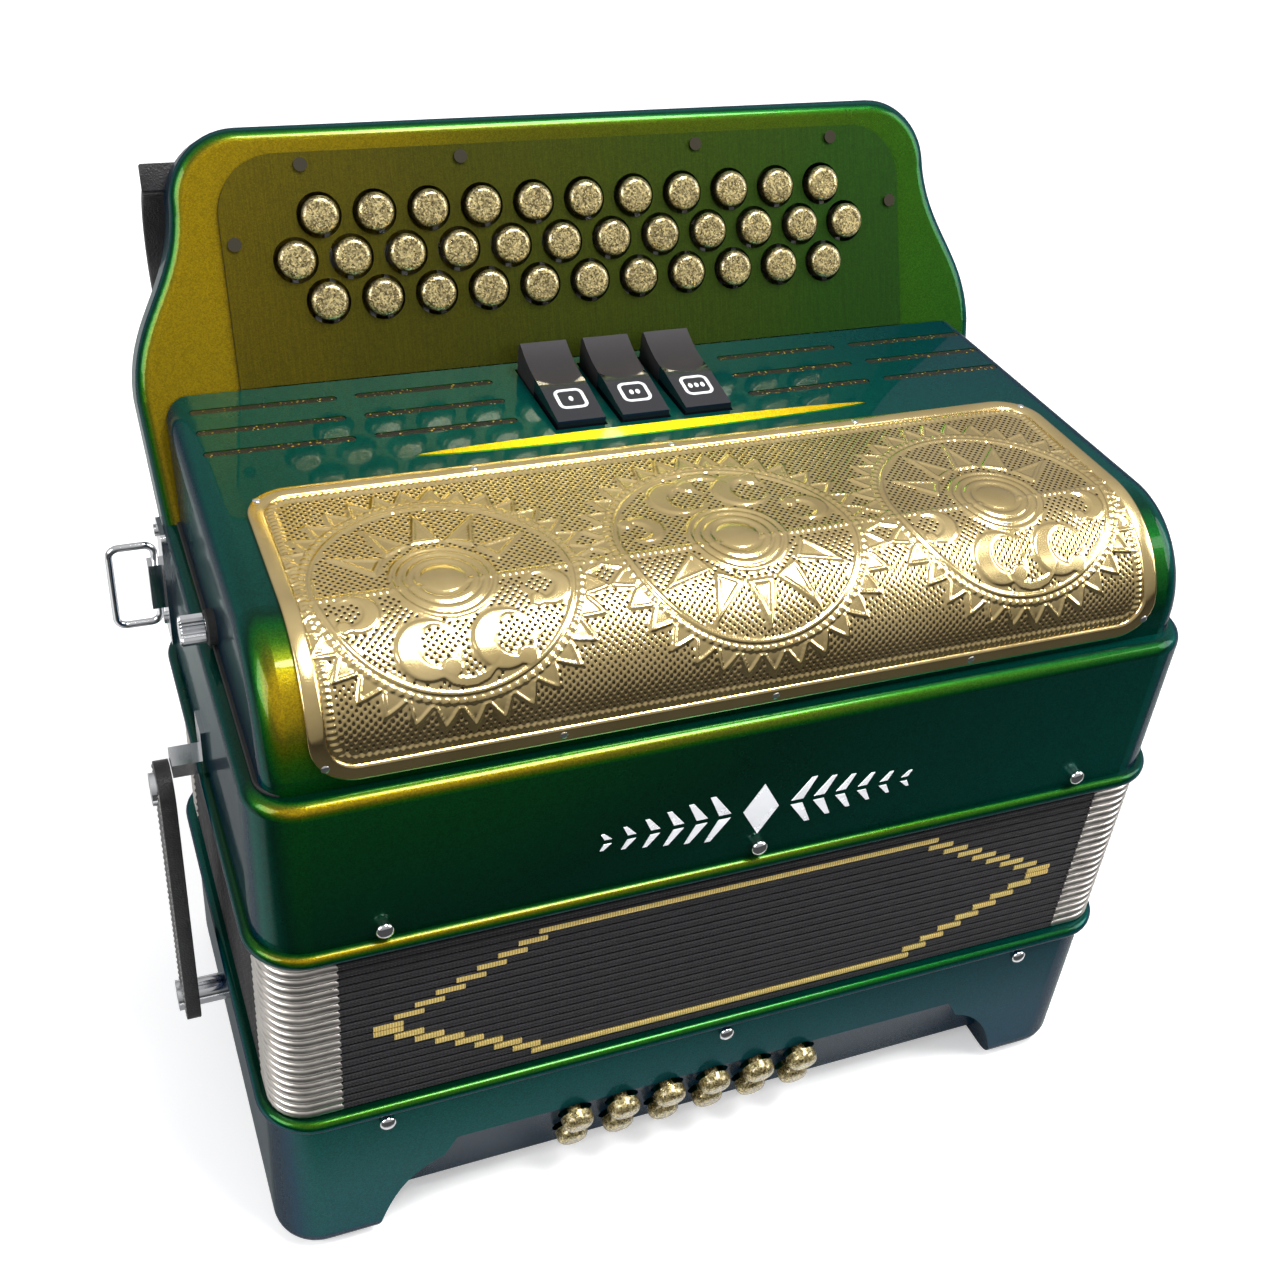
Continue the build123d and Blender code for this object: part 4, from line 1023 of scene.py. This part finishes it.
def around(path, profile, base):
    """Rings of the (inset, height) profile along the path, at the height base."""
    return [[(x - out_x * inward, bellows_y + y - out_y * inward, base + up)
             for inward, up in profile] for x, y, out_x, out_y in path]


print("folds:", FOLDS, "pitch mm:", round(PITCH / MM, 2))

# %% Leaves and edge tape
LEAF_DEEP, LEAF_CARD = 15 * MM, 0.6 * MM
fold_path = rounded_path(bellows_half_x, bellows_half_y, FOLD_ROUND)
TAPE = [(3.0, 0.50), (1.1, 0.12), (0.35, 0.14), (0.05, 0.22), (0.0, 0.30), (0.10, 0.40),
        (0.42, 0.50), (0.10, 0.60), (0.0, 0.70), (0.05, 0.78), (0.35, 0.86), (1.1, 0.88)]
tape_profile = [(inward * MM, up * PITCH) for inward, up in TAPE]
for number in range(FOLDS):
    base = folds_low.z + number * PITCH
    leaf = [(LEAF_DEEP, 0), (0.8 * MM, PITCH / 2), (LEAF_DEEP, PITCH),
            (LEAF_DEEP + LEAF_CARD, PITCH), (0.8 * MM + 2 * LEAF_CARD, PITCH / 2),
            (LEAF_DEEP + LEAF_CARD, 0)]
    shells = Shells()
    shells.add(around(fold_path, leaf, base), closed_path=True)
    leaves = make_piece(f"fold_leaves_{number + 1:02d}", shells.points, shells.faces, bellows_cloth)
    spread_fold(leaves)
    shells = Shells()
    shells.add(around(fold_path, tape_profile, base), closed_path=True)
    tape = make_piece(f"fold_tape_{number + 1:02d}", shells.points, shells.faces, bellows_cloth, 50)
    carry_fold(tape)
    if number == 0:
        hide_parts("bellows_folds")
print("leaves and tape pieces:", 2 * FOLDS)

# %% Nickel corners
CORNER_LEG = 22 * MM
CAP = [(1.6, 0.04), (0.55, 0.03), (0.1, 0.12), (-0.25, 0.28), (-0.38, 0.5), (-0.25, 0.72),
       (0.1, 0.88), (0.55, 0.97), (1.6, 0.96)]


def end_share(step):
    """The height share of a corner leg, which narrows over its last tenth."""
    if step < 0.9:
        return 1.0
    return 0.9 if step < 1 else 0.7


def corner_paths():
    """For each corner: leg, round, leg, as points with outward directions and an end share."""
    leg = CORNER_LEG - FOLD_ROUND
    for turn, side_x, side_y in ((0, 1, 1), (90, -1, 1), (180, -1, -1), (270, 1, -1)):
        centre_x = side_x * (bellows_half_x - FOLD_ROUND)
        centre_y = side_y * (bellows_half_y - FOLD_ROUND)
        path = []
        for step in (1.0, 0.93, 0.8, 0.6, 0.3):
            angle = math.radians(turn)
            path.append((-leg * step, angle, end_share(step)))
        for i in range(9):
            path.append((0, math.radians(turn + 90 * i / 8), 1.0))
        for step in (0.3, 0.6, 0.8, 0.93, 1.0):
            angle = math.radians(turn + 90)
            path.append((leg * step, angle, end_share(step)))
        yield [(centre_x + FOLD_ROUND * math.cos(angle) - math.sin(angle) * slide,
                centre_y + FOLD_ROUND * math.sin(angle) + math.cos(angle) * slide,
                math.cos(angle), math.sin(angle), share)
               for slide, angle, share in path]


for number in range(FOLDS):
    base = folds_low.z + number * PITCH
    shells = Shells()
    for path in corner_paths():
        rings = []
        for x, y, out_x, out_y, share in path:
            rings.append([(x - out_x * inward * MM, bellows_y + y - out_y * inward * MM,
                           base + PITCH * (0.5 + (up - 0.5) * share)) for inward, up in CAP])
        shells.add(rings)
    caps = make_piece(f"corner_caps_{number + 1:02d}", shells.points, shells.faces,
                      nickel_plating, 50)
    carry_fold(caps)
    if number == 0:
        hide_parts("bellows_corners")
print("corner pieces:", FOLDS)

# %% [markdown]
# ## The gold figure on the bellows
# A stepped six-sided figure of gold thread runs over the folds, front and back. Each fold carries
# one short bar each side, a little nearer the middle than its neighbour's, and the last folds
# carry the two long lines.

# %% Gold bars
TIP_X, STEP_X, BAR_LONG, STEPS = 125.5 * MM, 6.65 * MM, 9.6 * MM, 8
BAR = [(0.6, -1.15), (-0.04, -1.08), (-0.24, -0.60), (-0.30, 0.0), (-0.24, 0.60), (-0.04, 1.08),
       (0.6, 1.15)]


def gold_bar(shells, left, right, face, out, height):
    """A bar from left to right on the bellows face whose outward direction is out, 1 or -1."""
    rings = [[(x, face - out * inward * MM, height + up * MM) for inward, up in BAR]
             for x in np.linspace(left, right, 3)]
    shells.add(rings if out < 0 else [ring[::-1] for ring in rings])


for step in range(STEPS + 1):
    for number, rib in ((FOLDS // 2 + step, 0.40), (FOLDS // 2 - 1 - step, 0.60)):
        height = folds_low.z + (number + rib) * PITCH
        outer = TIP_X - step * STEP_X
        spans = [(-outer, -outer + BAR_LONG), (outer - BAR_LONG, outer)]
        if step == STEPS:
            spans = [(-outer, outer)]
        shells = Shells()
        for out in (-1, 1):
            for left, right in spans:
                gold_bar(shells, left, right, bellows_y + out * bellows_half_y, out, height)
        bars = make_piece(f"gold_bars_{number + 1:02d}", shells.points, shells.faces, gold_tape, 60)
        carry_fold(bars)
print("gold bar pieces:", 2 * (STEPS + 1))

# %% [markdown]
# ## The bellows pins
# Six pins with domed heads lock the bellows frames into the cases, three at each rim and on both
# faces. A turned profile gives each head the small moving highlight of a real polished pin.

# %% The pin heads
PIN_X = (-122 * MM, 0.0, 122 * MM)
TREBLE_PIN_Z, BASS_PIN_Z = 154.8 * MM, 64.4 * MM
PIN_PROFILE = ((2.2, -1.2), (2.8, -0.9), (2.9, -0.3), (2.6, 0.4), (1.7, 0.9), (0.5, 1.1))
low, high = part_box("bass_fasteners")
for label, height in (("treble", TREBLE_PIN_Z), ("bass", BASS_PIN_Z)):
    heads = Shells()
    for x in PIN_X:
        for face, out in ((low.y, -1), (high.y, 1)):
            rings = [[(x + radius * MM * math.cos(a), face + out * rise * MM,
                       height + radius * MM * math.sin(a))
                      for a in full_turn(20)] for radius, rise in PIN_PROFILE]
            heads.add(rings if out > 0 else [ring[::-1] for ring in rings])
    domes = make_piece(f"pin_heads_{label}", heads.points, heads.faces, chrome_plating, 60)
    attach(domes, f"{label}_side")
print("pin heads: 12")

# %% [markdown]
# ## Leather straps
# The bellows straps, the thumb strap and the hand strap are cut leather with rolled edges and a
# stitched line near each side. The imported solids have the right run, so each strap copies that
# outline, rolls its edges with a bevel, and gets rows of real stitches laid on its surface.

# %% Copying a strap
def leather_strap(label, body, roll, name):
    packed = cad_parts[label]
    mesh = packed.data.copy()
    mesh.name = name
    mesh.materials.clear()
    mesh.materials.append(black_leather)
    strap = bpy.data.objects.new(name, mesh)
    bpy.context.scene.collection.objects.link(strap)
    weld = strap.modifiers.new("weld", "WELD")
    weld.merge_threshold = 0.00002
    edges = strap.modifiers.new("rolled_edges", "BEVEL")
    edges.width, edges.segments = roll, 4
    edges.limit_method, edges.angle_limit = "ANGLE", math.radians(50)
    edges.harden_normals = False
    evaluated = strap.evaluated_get(bpy.context.evaluated_depsgraph_get())
    final = bpy.data.meshes.new_from_object(evaluated)
    strap.modifiers.clear()
    strap.data = final
    final.polygons.foreach_set("use_smooth", [True] * len(final.polygons))
    final.set_sharp_from_angle(angle=math.radians(40))
    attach(strap, body)
    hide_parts(label)
    return strap


def stitches(name, body, starts, along, look, count, pitch):
    """Rows of short thread bars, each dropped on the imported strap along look."""
    shells = Shells()
    for surface, start in starts:
        for i in range(count):
            places = []
            for part in (0.0, 0.3, 0.7, 1.0):
                origin = start + along * pitch * (i + 0.62 * part)
                hit = surface.ray_cast(origin, look, 0.08)
                if hit[0] is None:
                    break
                places.append(hit[0] - look * (0.12 * MM if 0 < part < 1 else -0.1 * MM))
            if len(places) < 4:
                continue
            side = along.cross(look).normalized()
            rings = [[place + (side * math.cos(a) + look * math.sin(a)) * 0.28 * MM
                      for a in full_turn(6)] for place in places]
            shells.add(rings)
    if not shells.points:
        return None
    rows = make_piece(name, shells.points, shells.faces, thread)
    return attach(rows, body)


bellows_strap = leather_strap("bellows_straps", "bass_side", 0.9 * MM, "bellows_strap_leather")
thumb = leather_strap("thumb_strap", "treble_side", 0.8 * MM, "thumb_strap_leather")
hand = leather_strap("hand_strap", "bass_side", 1.6 * MM, "hand_strap_leather")
print("straps:", [len(s.data.vertices) for s in (bellows_strap, thumb, hand)])

# %% Stitching the straps
low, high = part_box("bellows_straps")
surface = tree_of("bellows_straps")
STITCH_IN = 2.0 * MM
for label, side in (("left", -1), ("right", 1)):
    starts = [(surface, Vector((side * 0.19, y, low.z + 3 * MM)))
              for y in (low.y + STITCH_IN, high.y - STITCH_IN)]
    stitches(f"bellows_strap_stitches_{label}", "bass_side", starts, Vector((0, 0, 1)),
             Vector((-side, 0, 0)), 40, 2.8 * MM)
low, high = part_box("thumb_strap")
surface = tree_of("thumb_strap")
starts = [(surface, Vector((x, high.y + 12 * MM, low.z + 1 * MM)))
          for x in (low.x + STITCH_IN, high.x - STITCH_IN)]
stitches("thumb_strap_stitches", "treble_side", starts, board_up, board_out, 24, 2.8 * MM)
low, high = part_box("hand_strap")
surface = tree_of("hand_strap")
starts = [(surface, Vector((low.x + 4 * MM, y, low.z - 10 * MM)))
          for y in (low.y + 3 * MM, high.y - 3 * MM)]
stitches("hand_strap_stitches", "bass_side", starts, Vector((1, 0, 0)), Vector((0, 0, 1)), 68,
         3.0 * MM)
print("stitch rows laid")

# %% [markdown]
# ## The front ornament
# Many boxes carry a silver inlay on the treble front. Here it is a plain ornament, a lozenge
# between two runs of chevrons that taper away, cut from thin sheet and set a hair proud.

# %% The inlay
ORNAMENT_X, ORNAMENT_Z = -0.6 * MM, 170.0 * MM
hit = tree_of("treble_casing").ray_cast(Vector((ORNAMENT_X, -0.3, ORNAMENT_Z)), Vector((0, 1, 0)))
case_face = hit[0].y
FRONT, BACK = case_face - 0.28 * MM, case_face + 0.4 * MM


def cut_sheet(shells, outline):
    """A flat convex outline of (x, z) in mm, cut from the inlay sheet."""
    rings = []
    for y, scale in ((BACK, 1.0), (FRONT + 0.12 * MM, 1.0), (FRONT, 0.93)):
        middle = [sum(c) / len(outline) for c in zip(*outline)]
        rings.append([(ORNAMENT_X + (middle[0] + (x - middle[0]) * scale) * MM, y,
                       ORNAMENT_Z + (middle[1] + (z - middle[1]) * scale) * MM)
                      for x, z in outline])
    shells.add(rings)


inlay = Shells()
cut_sheet(inlay, [(0, -10.5), (6.2, 0), (0, 10.5), (-6.2, 0)])
for side in (-1, 1):
    for i in range(6):
        x, half, wide = side * (10.5 + i * 8.0), 9.4 - i * 1.2, 4.2 - i * 0.35
        for sign in (-1, 1):
            arm = [(x, 0.9 * sign), (x + side * wide, 0.9 * sign),
                   (x + side * (wide * 0.8 + half * 0.5), half * sign),
                   (x + side * (wide * 0.35 + half * 0.5), half * sign)]
            cut_sheet(inlay, arm if side * sign > 0 else arm[::-1])
ornament = make_piece("front_inlay", inlay.points, inlay.faces, silver_inlay, 25)
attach(ornament, "treble_side")
print("inlay points:", len(inlay.points))

# %% [markdown]
# ## Floor and light
# A pale floor and three soft lights are a small product studio. The overhead light makes the long
# highlights on lacquer and gold, and the sky is a plain gradient, bright above and grey low down,
# so that curved metal has something to show. The floor's own material glows a little for the
# camera and is dark in mirror view away from the box, which keeps a pale veil off the lacquer.

# %% The studio
floor_mesh = bpy.data.meshes.new("floor")
FLOOR_HALF = 8.0
floor_mesh.from_pydata([(-FLOOR_HALF, -FLOOR_HALF, 0), (FLOOR_HALF, -FLOOR_HALF, 0),
                        (FLOOR_HALF, FLOOR_HALF, 0), (-FLOOR_HALF, FLOOR_HALF, 0)], [], [(0, 1, 2, 3)])
floor = bpy.data.objects.new("floor", floor_mesh)
bpy.context.scene.collection.objects.link(floor)
floor_paint, tree, shader = new_material("floor_paint", Roughness=0.8, Specular_IOR_Level=0.0,
                                         Emission_Color=(1, 1, 1, 1))
rays = add_node(tree, "ShaderNodeLightPath").outputs
place = add_node(tree, "ShaderNodeTexCoord").outputs["Object"]
forward = add_node(tree, "ShaderNodeSeparateXYZ", {0: place}).outputs[1]
near = add_node(tree, "ShaderNodeMapRange", {0: forward, 1: -0.170, 2: -0.135, 3: 0.04, 4: 0.50})
mirrored = blend_colors(tree, rays["Is Glossy Ray"], (0.93, 0.93, 0.93, 1), near.outputs[0])
tree.links.new(mirrored, shader["Base Color"])
tree.links.new(math_node(tree, "MULTIPLY", rays["Is Camera Ray"], 0.30),
               shader["Emission Strength"])
floor_mesh.materials.append(floor_paint)
floor.location.z = -0.0002

world = bpy.data.worlds.new("studio_sky")
bpy.context.scene.world = world
world.use_nodes = True
tree = world.node_tree
sky = next(n for n in tree.nodes if n.type == "BACKGROUND")
heading = add_node(tree, "ShaderNodeTexCoord").outputs["Generated"]
height = add_node(tree, "ShaderNodeSeparateXYZ", {0: heading}).outputs[2]
level = add_node(tree, "ShaderNodeMapRange", {0: height, 1: -0.1, 2: 0.95, 3: 0.30, 4: 1.0})
tree.links.new(level.outputs[0], sky.inputs["Color"])
sky.inputs["Strength"].default_value = 0.66


def soft_light(name, place, aim, size_x, size_y, power):
    data = bpy.data.lights.new(name, "AREA")
    data.shape, data.size, data.size_y, data.energy = "RECTANGLE", size_x, size_y, power
    lamp = bpy.data.objects.new(name, data)
    bpy.context.scene.collection.objects.link(lamp)
    lamp.location = place
    lamp.rotation_mode = "QUATERNION"
    lamp.rotation_quaternion = (Vector(aim) - Vector(place)).to_track_quat("-Z", "Y")
    return lamp


soft_light("overhead", (0.30, -0.35, 1.35), (0, 0, 0.15), 0.60, 0.40, 22)
soft_light("left_panel", (-2.2, -0.7, 1.5), (0, 0, 0.15), 1.5, 1.5, 48)
soft_light("right_panel", (2.2, -0.9, 1.4), (0, 0, 0.15), 1.4, 1.4, 36)
bpy.context.scene.view_settings.view_transform = "Standard"
print("lights: 3")
